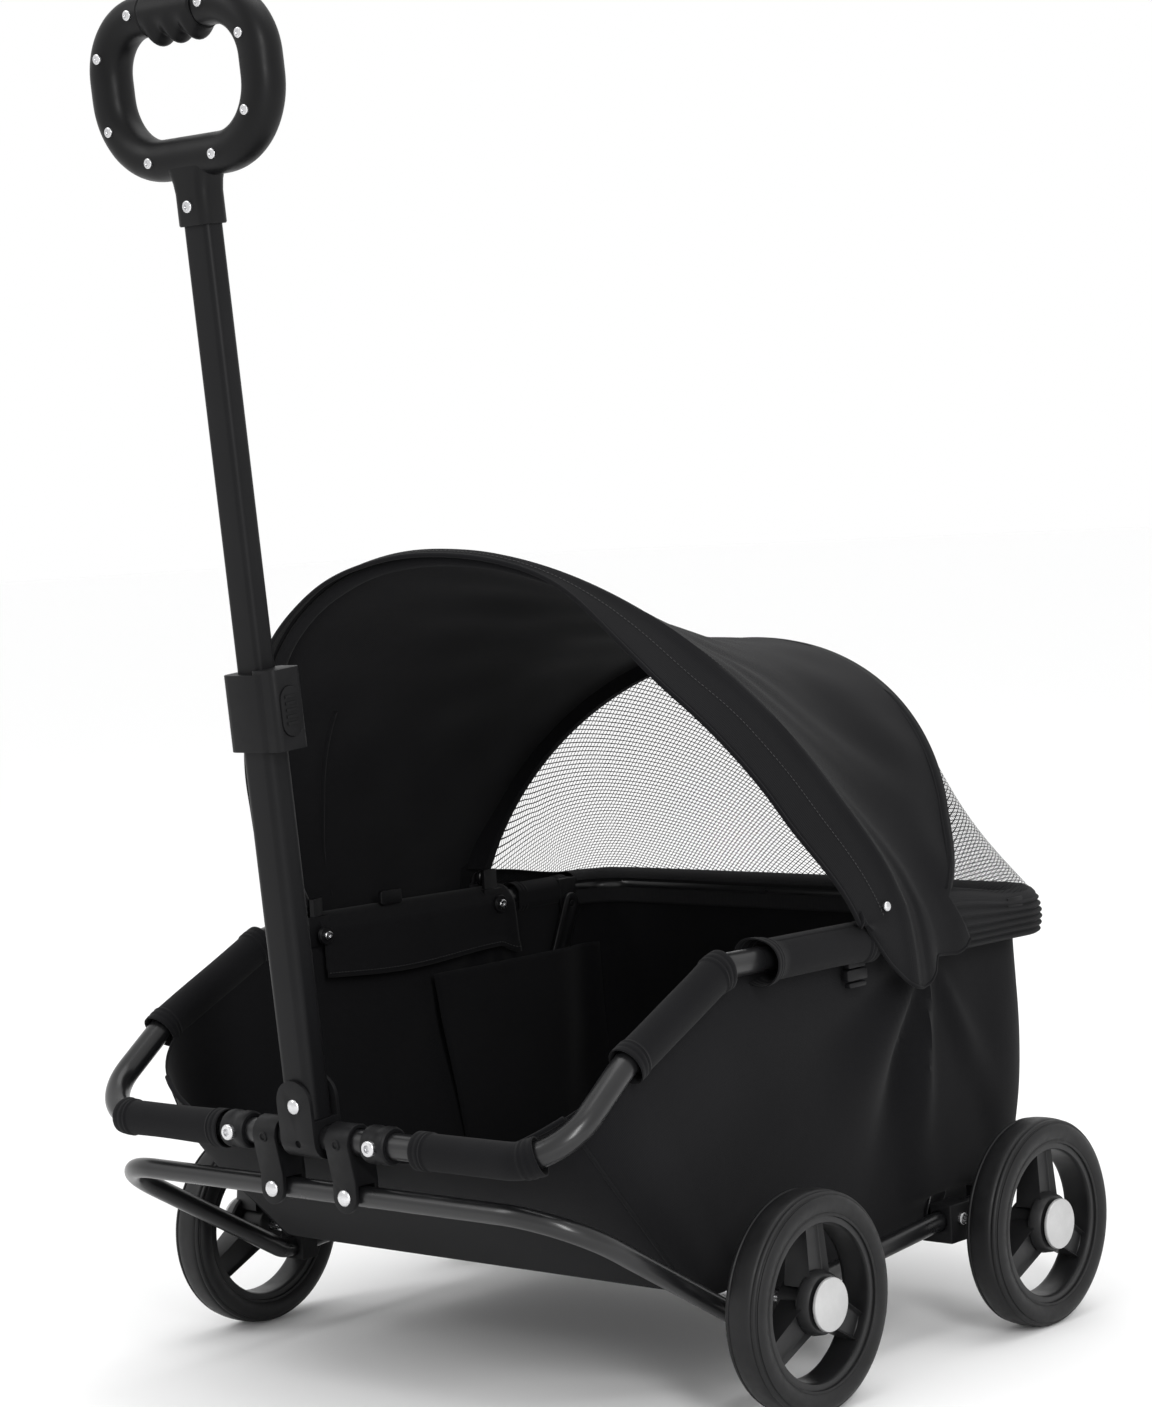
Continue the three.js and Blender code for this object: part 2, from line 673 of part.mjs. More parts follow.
const CANOPY_EDGE = CANOPY_OFFSET + CANOPY_THICKNESS;
const turnAt = (u) => -89.5 + 179 * u;

function canopyPanel() {
  const seam = new THREE.Vector3(0, -0.4, 0);
  const pointAt = (u, v) => {
    const turn = turnAt(1 - u);
    return archPoint(FRONT_BOW, turn, CANOPY_EDGE)
      .lerp(archPoint(MID_BOW, turn, CANOPY_EDGE), v)
      .addScaledVector(seam, v);
  };
  return sheet(pointAt, 20, 4, CANOPY_THICKNESS);
}

// the rear edge of the mesh: along the side tubes and round behind the rear bar
function rearEdge(turn) {
  const side = Math.sign(turn);
  const share = Math.abs(turn) / 90;
  const half = FRAME_HALF + 7;
  const rear = RIM_REAR_Y + 2;
  const radius = RIM_REAR_BEND + 7;
  const z = RIM_REAR_Z + RIM_TUBE_R + 6;
  const corner = Math.PI * 0.5 * radius;
  const straight = half - radius;
  const run = rear - radius - MID_BOW.rightY;
  let length = (1 - share) * (straight + corner + run);
  if (length < run) {
    const rise = ((BOW_PIVOT_Z - z) * (run - length)) / run;
    return new THREE.Vector3(side * half, MID_BOW.rightY + length, z + rise);
  }
  length -= run;
  if (length < corner) {
    const a = length / radius;
    const out = straight + radius * Math.cos(a);
    return new THREE.Vector3(side * out, rear - radius + radius * Math.sin(a), z);
  }
  return new THREE.Vector3(side * (straight - (length - corner)), rear, z);
}

function canopyMesh() {
  const seam = new THREE.Vector3(0, 0.8, 0);
  const pointAt = (u, v) => {
    const turn = turnAt(1 - u);
    return archPoint(MID_BOW, turn, CANOPY_EDGE).add(seam).lerp(rearEdge(turn), v);
  };
  return sheet(pointAt, 20, 3, CANOPY_THICKNESS);
}

function buildCanopy() {
  add('front_bow', bow(FRONT_BOW), PAINT);
  add('mid_bow', bow(MID_BOW), PAINT);
  add('canopy_panel', canopyPanel(), FABRIC);
  add('canopy_mesh', canopyMesh(), MESH_FABRIC);
}

// ---- handle pole -----------------------------------------------------------------------------------------
// pole pieces are drawn upright with the hinge axis at the origin, then leaned forward into place
const POLE_PLACE = new THREE.Matrix4()
  .makeTranslation(0, PIVOT_Y, PIVOT_Z)
  .multiply(new THREE.Matrix4().makeRotationX(POLE_LEAN));

function upright(shape, from, to) {
  return extrude(shape, to - from).translate(0, 0, from);
}

// the outline of a tube with the clearance that lets it slide in
function clearance([width, depth], radius) {
  return roundedRectangle(width + 2 * GAP, depth + 2 * GAP, radius);
}

function hollowTube([width, depth], wall, radius, [from, to]) {
  const shape = roundedRectangle(width, depth, radius);
  shape.holes.push(roundedRectangle(width - 2 * wall, depth - 2 * wall, radius - wall));
  return upright(shape, from, to);
}

const CLEVIS_RIVET_S = 27;

function clevis() {
  const plateOut = LOWER_TUBE[1] / 2 + GAP + 3;
  const slotHalf = LOWER_TUBE[1] / 2 + GAP;
  const body = sideProfile(
    polygon([[-plateOut, 0], [plateOut, 0], [plateOut, 47], [-plateOut, 47]]),
    -18,
    18,
  );
  const wrap = sideProfile(circle(plateOut, 24), -18, 18);
  const bore = sideProfile(circle(RIM_TUBE_R + GAP, 24), -20, 20);
  const slot = block([-20, -slotHalf, LOWER_TUBE_SPAN[0] - GAP], [20, slotHalf, 60]);
  const rivetHole = rod(RIVET_R + GAP, [0, -30, CLEVIS_RIVET_S], [0, 30, CLEVIS_RIVET_S], 12);
  const dimple = rod(3, [0, -30, -2], [0, -plateOut + 2.6, -2], 14);
  const outline = [];
  for (let i = 0; i <= 14; i += 1) {
    const angle = (Math.PI * i) / 14;
    outline.push([18 * Math.cos(angle), 29 + 18 * Math.sin(angle)]);
  }
  outline.push([-18, -16], [18, -16]);
  const front = frontProfile(polygon(outline), -30, 30);
  return common(carve([body, wrap], [bore, slot, rivetHole, dimple]), front);
}

function lowerTube() {
  const tube = hollowTube(LOWER_TUBE, 1.8, 8, LOWER_TUBE_SPAN);
  const hole = rod(RIVET_R + GAP, [0, -30, CLEVIS_RIVET_S], [0, 30, CLEVIS_RIVET_S], 12);
  return carve([tube], [hole]);
}

const BUTTON = { from: 308, to: 346, half: 10, face: 32 };

function buttonShape(half, from, to) {
  const points = [];
  for (let i = 0; i <= 8; i += 1) {
    const angle = (Math.PI * i) / 8;
    points.push([half * Math.cos(angle), to - half + half * Math.sin(angle)]);
  }
  for (let i = 0; i <= 8; i += 1) {
    const angle = Math.PI + (Math.PI * i) / 8;
    points.push([half * Math.cos(angle), from + half + half * Math.sin(angle)]);
  }
  return polygon(points);
}

function lockCollar() {
  const [from, to] = COLLAR_SPAN;
  const sleeve = upright(roundedRectangle(...COLLAR_SIZE, 9), from, to);
  const housing = upright(roundedRectangle(24, 30, 5, [20, 0]), from, to + 3);
  const tubeHole = upright(clearance(LOWER_TUBE, 8.3), from - 1, LOWER_TUBE_SPAN[1] + 1);
  const throat = upright(clearance(UPPER_TUBE, 5.8), from, to + 5);
  const pocket = sideProfile(
    buttonShape(BUTTON.half + GAP, BUTTON.from - GAP, BUTTON.to + GAP),
    BUTTON.face - 10.5,
    BUTTON.face + 5,
  );
  return carve([sleeve, housing], [tubeHole, throat, pocket]);
}

function lockButton() {
  const shape = buttonShape(BUTTON.half, BUTTON.from, BUTTON.to);
  const body = sideProfile(shape, BUTTON.face - 6.5, BUTTON.face + 1);
  const ribs = [0, 1, 2, 3, 4].map((i) => {
    const s = BUTTON.from + 9 + i * 5;
    return sideProfile(polygon([[-6, s], [6, s], [6, s + 2.2], [-6, s + 2.2]]), BUTTON.face, BUTTON.face + 2);
  });
  return carve([body, ...ribs]);
}

// ---- pull handle ------------------------------------------------------------------------
function handlePath(from, to) {
  const half = HANDLE_WIDTH / 2;
  const low = HANDLE_MIDDLE - HANDLE_HEIGHT / 2;
  const high = HANDLE_MIDDLE + HANDLE_HEIGHT / 2;
  return bentStations([
    [[from, 0, high], 0],
    [[-half, 0, high], 42],
    [[-half, 0, low], 50],
    [[half, 0, low], 50],
    [[half, 0, high], 42],
    [[to, 0, high], 0],
  ]);
}

function handleLoop() {
  const loop = tubeThrough(handlePath(-GRIP_HALF - GAP, GRIP_HALF + GAP), HANDLE_R, 12);
  const low = HANDLE_MIDDLE - HANDLE_HEIGHT / 2;
  const neck = upright(roundedRectangle(33, 26, 7), NECK_BOTTOM, low);
  const flare = new THREE.CylinderGeometry(30, 17, 22, 20).rotateX(Math.PI / 2);
  flare.scale(1, 0.78, 1).translate(0, 0, low - 21);
  const socket = upright(clearance(UPPER_TUBE, 5.8), NECK_BOTTOM - 1, UPPER_TUBE_SPAN[1] + GAP);
  const screwHole = rod(4.4, [0, -40, NECK_BOTTOM + 13], [0, -UPPER_TUBE[1] / 2, NECK_BOTTOM + 13], 16);
  return carve([loop, neck, flare], [socket, screwHole]);
}

function handleGrip() {
  const high = HANDLE_MIDDLE + HANDLE_HEIGHT / 2;
  const core = rod(HANDLE_R + 0.7, [-GRIP_HALF, 0, high], [GRIP_HALF, 0, high], 20);
  const bumps = [-1, 0, 1].map((i) => {
    const bump = new THREE.SphereGeometry(10.5, 12, 8);
    return bump.scale(1, 1, 0.8).translate(i * 18, 0, high - 15);
  });
  return carve([core, ...bumps]);
}

function neckScrew() {
  const z = NECK_BOTTOM + 13;
  const head = rod(4, [0, -15.2, z], [0, -11.6, z], 18);
  const shank = rod(2.2, [0, -12, z], [0, -UPPER_TUBE[1] / 2 - GAP, z], 12);
  const socket = rod(1.8, [0, -16, z], [0, -13.4, z], 6);
  return carve([head, shank], [socket]);
}

function buildPole() {
  add('clevis', clevis(), PLASTIC, POLE_PLACE);
  add('clevis_rivet', rivet(0, 0, CLEVIS_RIVET_S, 15.3, 6), STEEL, POLE_PLACE);
  add('lower_tube', lowerTube(), PAINT, POLE_PLACE);
  add('lock_collar', lockCollar(), PLASTIC, POLE_PLACE);
  add('lock_button', lockButton(), PLASTIC, POLE_PLACE);
  add('upper_tube', hollowTube(UPPER_TUBE, 1.5, 5.5, UPPER_TUBE_SPAN), PAINT, POLE_PLACE);
  add('handle_loop', handleLoop(), GRIP_RUBBER, POLE_PLACE);
  add('handle_grip', handleGrip(), GRIP_RUBBER, POLE_PLACE);
  add('neck_screw', neckScrew(), STEEL, POLE_PLACE);
}

buildBase();
buildBasket();
buildWheels();
buildRim();
buildProps();
buildCanopy();
buildPole();

export default stroller;
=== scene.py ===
"""Pet stroller: the visible pieces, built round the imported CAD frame. Lengths are in millimetres."""

import json
import math

import bmesh
import bpy
import numpy as np
from mathutils import Matrix, Vector

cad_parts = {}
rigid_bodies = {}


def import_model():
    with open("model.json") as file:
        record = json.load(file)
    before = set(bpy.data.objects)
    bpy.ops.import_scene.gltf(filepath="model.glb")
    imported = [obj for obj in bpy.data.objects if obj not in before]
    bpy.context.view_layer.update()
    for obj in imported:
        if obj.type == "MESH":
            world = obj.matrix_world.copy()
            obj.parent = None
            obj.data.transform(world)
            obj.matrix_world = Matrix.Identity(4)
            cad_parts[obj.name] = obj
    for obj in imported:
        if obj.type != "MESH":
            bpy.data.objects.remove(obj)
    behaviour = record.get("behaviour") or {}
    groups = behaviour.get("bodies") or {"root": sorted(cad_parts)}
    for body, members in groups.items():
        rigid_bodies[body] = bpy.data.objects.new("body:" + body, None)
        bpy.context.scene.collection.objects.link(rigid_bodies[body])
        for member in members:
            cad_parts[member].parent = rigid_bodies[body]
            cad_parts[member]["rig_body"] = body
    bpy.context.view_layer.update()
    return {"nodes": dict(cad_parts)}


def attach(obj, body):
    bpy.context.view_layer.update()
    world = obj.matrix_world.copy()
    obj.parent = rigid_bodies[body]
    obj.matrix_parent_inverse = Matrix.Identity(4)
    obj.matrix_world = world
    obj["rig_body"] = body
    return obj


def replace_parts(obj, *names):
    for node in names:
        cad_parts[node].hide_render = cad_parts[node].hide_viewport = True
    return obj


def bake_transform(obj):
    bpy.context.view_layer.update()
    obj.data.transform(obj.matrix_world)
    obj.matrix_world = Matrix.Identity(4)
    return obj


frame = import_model()

MM = 0.001
COINCIDENT = 1e-7  # metres
AXIS = 0.01  # the radius of a lathe profile where it meets its axis

# ---- driving sizes, the same as the CAD frame's -------------------------------------------------
WHEEL_R = 85
FRONT_AXLE_Y = -62
REAR_AXLE_Y = 250
TRACK_HALF = 298.5
HUB_HALF = 19
AXLE_R = 4.5
FRAME_HALF = 247.6
BASE_TUBE_R = 8
BASE_BAR = (-274, 181)
RAIL_FRONT_Z = 72
RAIL_REAR_Z = 99
RAIL_END_Y = 270
RAIL_BEND_Y = -81
RIM_TUBE_R = 10
PIVOT = (-279, 223)
RIM_REAR = (355.8, 333)
RIM_KNEE = (-202, 281)
RIM_SHOULDER = (-84, 338)
RIM_SPLIT_Y = -40
COLLAR_X = 75.6
BRACKET_X = 39
PROP_FOOT_Y = 195
PROP_CLEAR = 235.5  # the folded props lie just inside this
BAND_R = 14
POLE_LEAN = math.radians(4.75)
BOW_R = 3.5
BOW_PIVOT_Z = 358
FRONT_BOW = {"left": -29, "right": 131, "apex": (-109, 653)}
MID_BOW_Y = 193
MID_BOW = {"left": MID_BOW_Y, "right": MID_BOW_Y, "apex": (285, 557)}
CANOPY_OUT = 9.9
VISOR_ROWS = 12
HANDLE_MIDDLE = 791
HANDLE_WIDTH = 160
HANDLE_HEIGHT = 106
HANDLE_R = 16
NECK_BOTTOM = 688
UPPER_TUBE = (27, 19)
LOWER_TUBE = (32, 24)


def rail_z(y):
    share = (y - FRONT_AXLE_Y) / (REAR_AXLE_Y - FRONT_AXLE_Y)
    return RAIL_FRONT_Z + (RAIL_REAR_Z - RAIL_FRONT_Z) * share


def rim_z(y):
    share = (y - RIM_SHOULDER[0]) / (RIM_REAR[0] - RIM_SHOULDER[0])
    return RIM_SHOULDER[1] + (RIM_REAR[1] - RIM_SHOULDER[1]) * share


# ---- materials ------------------------------------------------------------------------------------
class Look:
    """A node material, with short calls for the nodes that its pattern needs."""

    def __init__(self, name, color, roughness, metallic=0.0, specular=0.5):
        self.material = bpy.data.materials.new(name)
        self.material.use_nodes = True
        self.tree = self.material.node_tree
        self.shader = self.tree.nodes["Principled BSDF"]
        self.color = color
        self.set("Base Color", (*color, 1))
        self.set("Roughness", roughness)
        self.set("Metallic", metallic)
        self.set("Specular IOR Level", specular)
        self.coordinates = self.node("ShaderNodeTexCoord")
        self.height = None

    def set(self, socket, value):
        self.shader.inputs[socket].default_value = value

    def node(self, kind, **settings):
        made = self.tree.nodes.new(kind)
        for key, value in settings.items():
            setattr(made, key, value)
        return made

    def link(self, out, into):
        self.tree.links.new(out, into)

    def noise(self, scale, detail=4.0, stretch=None):
        made = self.node("ShaderNodeTexNoise")
        made.inputs["Scale"].default_value = scale
        made.inputs["Detail"].default_value = detail
        made.inputs["Roughness"].default_value = 0.6
        source = self.coordinates.outputs["Object"]
        if stretch:
            mapping = self.node("ShaderNodeMapping")
            mapping.inputs["Scale"].default_value = stretch
            self.link(source, mapping.inputs["Vector"])
            source = mapping.outputs["Vector"]
        self.link(source, made.inputs["Vector"])
        return made.outputs["Fac"]

    def wave(self, pitch, direction):
        """Ridges across the cloth's own UV, a pitch apart in metres."""
        made = self.node("ShaderNodeTexWave", bands_direction=direction, wave_profile="SIN")
        made.inputs["Scale"].default_value = 0.1 / pitch * math.pi
        self.link(self.coordinates.outputs["UV"], made.inputs["Vector"])
        return made.outputs["Fac"]

    def axis(self, index):
        """One of the two UV lengths."""
        split = self.node("ShaderNodeSeparateXYZ")
        self.link(self.coordinates.outputs["UV"], split.inputs[0])
        return split.outputs[index]

    def math(self, operation, a, b=None):
        made = self.node("ShaderNodeMath", operation=operation)
        for i, value in enumerate((a, b)):
            if isinstance(value, (int, float)):
                made.inputs[i].default_value = value
            elif value is not None:
                self.link(value, made.inputs[i])
        return made.outputs[0]

    def spread(self, value, low, high, from_low=0.3, from_high=0.7):
        made = self.node("ShaderNodeMapRange")
        limits = {"From Min": from_low, "From Max": from_high, "To Min": low, "To Max": high}
        for socket, limit in limits.items():
            made.inputs[socket].default_value = limit
        self.link(value, made.inputs["Value"])
        return made.outputs["Result"]

    def tint(self, value, dark=0.75, light=1.35, from_low=0.3, from_high=0.7):
        """The base colour runs from dark to light shares of itself along value."""
        made = self.node("ShaderNodeMix", data_type="RGBA")
        made.inputs["A"].default_value = (*[c * dark for c in self.color], 1)
        made.inputs["B"].default_value = (*[c * light for c in self.color], 1)
        self.link(self.spread(value, 0, 1, from_low, from_high), made.inputs["Factor"])
        self.link(made.outputs["Result"], self.shader.inputs["Base Color"])

    def bump(self, value, distance, strength):
        made = self.node("ShaderNodeBump")
        made.inputs["Distance"].default_value = distance
        made.inputs["Strength"].default_value = strength
        self.link(value, made.inputs["Height"])
        if self.height is not None:
            self.link(self.height, made.inputs["Normal"])
        self.height = made.outputs["Normal"]
        self.link(self.height, self.shader.inputs["Normal"])

    def finish(self, blotch, grain, gloss=None, stretch=None):
        """A hard surface. blotch is (noise scale, dark, light) for the colour, gloss is (noise scale, low,
        high) for the roughness and grain is (noise scale, detail, depth in metres, strength) for the bump."""
        scale, dark, light = blotch
        self.tint(self.noise(scale), dark, light)
        if gloss:
            scale, low, high = gloss
            worn = self.noise(scale, stretch=stretch)
            self.link(self.spread(worn, low, high), self.shader.inputs["Roughness"])
        scale, detail, depth, strength = grain
        self.bump(self.noise(scale, detail), depth, strength)
        return self


def paint_look():
    look = Look("gloss_black_paint", (0.0055, 0.0055, 0.006), 0.3, specular=0.34)
    look.set("Coat Weight", 0.2)
    look.set("Coat Roughness", 0.16)
    return look.finish((9, 0.85, 1.3), (900, 2, 0.00004, 0.35), (35, 0.26, 0.36))


def pole_look():
    look = Look("satin_black_pole", (0.0045, 0.0045, 0.005), 0.42, specular=0.13)
    return look.finish((9, 0.85, 1.3), (1200, 2, 0.00004, 0.4), (35, 0.38, 0.46), stretch=(1, 1, 0.2))


def wheel_look():
    look = Look("moulded_wheel_plastic", (0.008, 0.008, 0.0085), 0.42, specular=0.32)
    return look.finish((18, 0.85, 1.25), (1300, 3, 0.00006, 0.5), (80, 0.36, 0.48))


def steel_look():
    look = Look("bright_steel", (0.62, 0.62, 0.63), 0.24, metallic=1.0)
    return look.finish((120, 0.88, 1.08), (2200, 2, 0.00002, 0.3), (60, 0.18, 0.32), stretch=(1, 1, 18))


def cap_look():
    look = Look("satin_silver_cap", (0.5, 0.5, 0.5), 0.45, metallic=0.6)
    return look.finish((60, 0.93, 1.05), (3000, 2, 0.00002, 0.35), (500, 0.38, 0.47))


def plastic_look():
    look = Look("grained_black_plastic", (0.0045, 0.0045, 0.005), 0.5, specular=0.15)
    return look.finish((14, 0.85, 1.25), (1500, 3, 0.00006, 0.5), (90, 0.42, 0.55))


def handle_look():
    look = Look("satin_black_handle", (0.0038, 0.0038, 0.0041), 0.42, specular=0.14)
    return look.finish((10, 0.9, 1.2), (2600, 2, 0.00003, 0.4), (70, 0.36, 0.48))


def tyre_look():
    look = Look("tyre_rubber", (0.0052, 0.0052, 0.0056), 0.5, specular=0.27)
    return look.finish((22, 0.8, 1.35), (1100, 4, 0.00008, 0.55), (140, 0.42, 0.56))


def woven(name, color, pitch, rough=0.85, sheen=0.04):
    """Plain weave: warp and weft threads of the pitch given, in metres, laid along the cloth's own UV."""
    look = Look(name, color, rough, specular=0.065)
    look.set("Sheen Weight", sheen)
    look.set("Sheen Roughness", 0.55)
    weave = look.math("MAXIMUM", look.wave(pitch, "X"), look.wave(pitch, "Y"))
    soft = look.noise(7, 5)
    mixed = look.math("ADD", look.math("MULTIPLY", weave, 0.35), look.math("MULTIPLY", soft, 0.65))
    look.tint(mixed, 0.72, 1.35)
    look.bump(soft, 0.002, 0.25)
    look.bump(look.noise(55, 5), 0.0006, 0.3)
    look.bump(weave, 0.00018, 0.5)
    return look


MESH_CELL = (0.0064, 0.0043)
MESH_THREAD = 0.33


def mesh_look():
    """Open knitted mesh: leaning threads cross in rows of diamonds, and alpha cuts the openings through."""
    look = Look("open_mesh_fabric", (0.006, 0.006, 0.0065), 0.8, specular=0.1)
    across = look.math("MULTIPLY", look.axis(0), math.pi / MESH_CELL[0])
    along = look.math("MULTIPLY", look.axis(1), math.pi / MESH_CELL[1])
    slant = look.math("ABSOLUTE", look.math("COSINE", look.math("ADD", across, along)))
    other = look.math("ABSOLUTE", look.math("COSINE", look.math("SUBTRACT", across, along)))
    thread = look.math("MINIMUM", slant, other)
    look.link(look.math("LESS_THAN", thread, MESH_THREAD), look.shader.inputs["Alpha"])
    look.tint(look.noise(400), 0.8, 1.3)
    look.bump(look.math("SUBTRACT", 1, thread), 0.0004, 0.6)
    return look


def webbing_look():
    look = Look("ribbed_webbing", (0.008, 0.008, 0.0086), 0.8, specular=0.15)
    threads = look.wave(0.0016, "X")
    courses = look.wave(0.0011, "Y")
    look.tint(look.math("MAXIMUM", threads, courses), 0.6, 1.5, 0.1, 0.9)
    look.bump(threads, 0.0003, 0.6)
    look.bump(courses, 0.0002, 0.5)
    return look


def pad_look():
    look = woven("pad_fabric", (0.012, 0.012, 0.0132), 0.0024, 0.95, 0.15)
    look.bump(look.noise(420, 3), 0.0006, 0.5)
    return look


def thread_look():
    return Look("sewing_thread", (0.014, 0.014, 0.0145), 0.7).finish((400, 0.8, 1.3), (3000, 2, 0.00005, 0.5))


def board_look():
    return Look("wrapped_board", (0.014, 0.014, 0.015), 0.8).finish((40, 0.8, 1.2), (700, 4, 0.0002, 0.5))


LOOKS = {
    "tube_paint": paint_look(),
    "bright_steel": steel_look(),
    "plastic": plastic_look(),
    "grip": handle_look(),
    "tyre": tyre_look(),
    "fabric": woven("black_oxford_cloth", (0.004, 0.004, 0.0046), 0.0011),
    "mesh_fabric": mesh_look(),
    "pad_fabric": pad_look(),
    "board": board_look(),
}
CAP = cap_look()
POLE = pole_look()
WHEEL = wheel_look()
WEBBING = webbing_look()
THREAD = thread_look()


# ---- meshes ---------------------------------------------------------------------------------------
def new_object(name, points, faces, look, uvs=None, sharp=38):
    """A smooth-shaded object from points in millimetres. uvs has a (u, v) in metres for each face corner."""
    mesh = bpy.data.meshes.new(name)
    places = [tuple(float(c) * MM for c in p) for p in points]
    mesh.from_pydata(places, [], [tuple(int(i) for i in f) for f in faces])
    mesh.materials.append(look.material)
    if uvs is not None:
        layer = mesh.uv_layers.new(name="UVMap")
        layer.data.foreach_set("uv", np.asarray(uvs, np.float32).ravel())
    mesh.shade_smooth()
    mesh.set_sharp_from_angle(angle=math.radians(sharp))
    obj = bpy.data.objects.new(name, mesh)
    bpy.context.scene.collection.objects.link(obj)
    return obj


def distances(path):
    """How far along a path each of its points lies."""
    return np.concatenate([[0], np.cumsum(np.linalg.norm(np.diff(path, axis=0), axis=1))])


def grid(name, rows, look, around=False, ends=False, sharp=38, local=False):
    """A surface through rows of points. around joins each row's end to its start; ends closes the first and
    last row. local measures the UV along each row and column by itself, from the middle column."""
    rows = np.asarray(rows, float)
    m, n = rows.shape[:2]
    ring = np.concatenate([rows, rows[:, :1]], axis=1) if around else rows
    along = np.linalg.norm(np.diff(ring, axis=1), axis=2)
    down = np.linalg.norm(np.diff(ring, axis=0), axis=2)
    if not local:
        along = np.broadcast_to(along.mean(axis=0), along.shape)
        down = np.broadcast_to(down.mean(axis=1)[:, None], down.shape)
    u = np.concatenate([np.zeros((m, 1)), np.cumsum(along, axis=1)], axis=1) * MM
    v = np.concatenate([np.zeros((1, ring.shape[1])), np.cumsum(down, axis=0)], axis=0) * MM
    if local:
        u = u - u[:, ring.shape[1] // 2][:, None]
    faces, uvs = [], []
    for j in range(m - 1):
        for i in range(n if around else n - 1):
            k = (i + 1) % n
            faces.append((j * n + i, j * n + k, (j + 1) * n + k, (j + 1) * n + i))
            uvs += [(u[j, i], v[j, i]), (u[j, i + 1], v[j, i + 1]), (u[j + 1, i + 1], v[j + 1, i + 1]),
                    (u[j + 1, i], v[j + 1, i])]
    if ends:
        faces.append(tuple(range(n))[::-1])
        faces.append(tuple((m - 1) * n + i for i in range(n)))
        uvs += [(0.0, 0.0)] * (2 * n)
    return new_object(name, rows.reshape(-1, 3), faces, look, uvs, sharp)


def applied(obj):
    """Puts the modifiers' result in the mesh."""
    bpy.context.view_layer.update()
    made = bpy.data.meshes.new_from_object(obj.evaluated_get(bpy.context.evaluated_depsgraph_get()))
    obj.modifiers.clear()
    obj.data = made
    return obj


def bevelled(obj, width, segments):
    made = obj.modifiers.new("bevel", "BEVEL")
    made.width = width * MM
    made.segments = segments
    made.limit_method = "ANGLE"
    made.angle_limit = math.radians(32)
    made.harden_normals = False
    applied(obj)
    obj.data.shade_smooth()
    obj.data.set_sharp_from_angle(angle=math.radians(50))
    return obj


def thick(obj, thickness, offset=-1.0):
    made = obj.modifiers.new("thickness", "SOLIDIFY")
    made.thickness = thickness * MM
    made.offset = offset
    return applied(obj)


def joined(name, pieces):
    """One object out of several, with their materials kept."""
    with bpy.context.temp_override(
        active_object=pieces[0],
        selected_editable_objects=pieces,
        selected_objects=pieces,
        object=pieces[0],
    ):
        bpy.ops.object.join()
    pieces[0].name = name
    pieces[0].data.name = name
    return pieces[0]


def flipped_outward(obj, weld=0.0):
    """Turns the faces outward, once points closer than weld, in metres, are joined."""
    made = bmesh.new()
    made.from_mesh(obj.data)
    if weld:
        bmesh.ops.remove_doubles(made, verts=made.verts, dist=weld)
    bmesh.ops.recalc_face_normals(made, faces=made.faces)
    made.to_mesh(obj.data)
    made.free()
    return obj


# ---- paths ----------------------------------------------------------------------------------------
def bent(corners, step=5):
    """Points along straight runs joined by round bends; corners are (point, bend radius)."""
    at = [np.array(p, float) for p, _ in corners]
    out = [at[0]]
    for i in range(1, len(at) - 1):
        inward = at[i] - at[i - 1]
        inward /= np.linalg.norm(inward)
        outward = at[i + 1] - at[i]
        outward /= np.linalg.norm(outward)
        turn = math.acos(np.clip(inward @ outward, -1, 1))
        radius = corners[i][1]
        start = at[i] - inward * radius * math.tan(turn / 2)
        side = outward - inward * (outward @ inward)
        side /= np.linalg.norm(side)
        centre = start + side * radius
        steps = max(2, math.ceil(math.degrees(turn) / step))
        for k in range(steps + 1):
            a = turn * k / steps
            out.append(centre - side * radius * math.cos(a) + inward * radius * math.sin(a))
    out.append(at[-1])
    return np.array(out)


def even(path, spacing):
    """The same path with points a steady distance apart."""
    path = np.asarray(path, float)
    lengths = distances(path)
    count = max(2, int(round(lengths[-1] / spacing)) + 1)
    at = np.linspace(0, lengths[-1], count)
    return np.stack([np.interp(at, lengths, path[:, k]) for k in range(3)], axis=1)


def frames_along(path, up=(0, 0, 1)):
    """Side and top directions at each point, turned as little as possible on the way."""
    tangents = np.gradient(path, axis=0)
    tangents /= np.linalg.norm(tangents, axis=1)[:, None]
    first = np.cross(up, tangents[0])
    if np.linalg.norm(first) < 1e-3:
        first = np.cross((0, 1, 0), tangents[0])
    side = first / np.linalg.norm(first)
    sides = []
    for t in tangents:
        side = side - t * (side @ t)
        side = side / np.linalg.norm(side)
        sides.append(side)
    sides = np.array(sides)
    return tangents, sides, np.cross(tangents, sides)


def tube(name, path, radius, look, sides=32, ends=True, shape=None, up=(0, 0, 1)):
    """A round tube along a path. radius is a number or one for each point; shape(angle, length) scales it."""
    path = np.asarray(path, float)
    _, side, top = frames_along(path, up)
    radii = np.broadcast_to(np.asarray(radius, float), (len(path),))
    angles = np.arange(sides) / sides * 2 * math.pi
    rows = []
    for p, s, t, r, length in zip(path, side, top, radii, distances(path)):
        scale = np.ones(sides) if shape is None else np.array([shape(a, length) for a in angles])
        rows.append(p + r * scale[:, None] * (np.cos(angles)[:, None] * s + np.sin(angles)[:, None] * t))
    return flipped_outward(grid(name, rows, look, around=True, ends=ends))


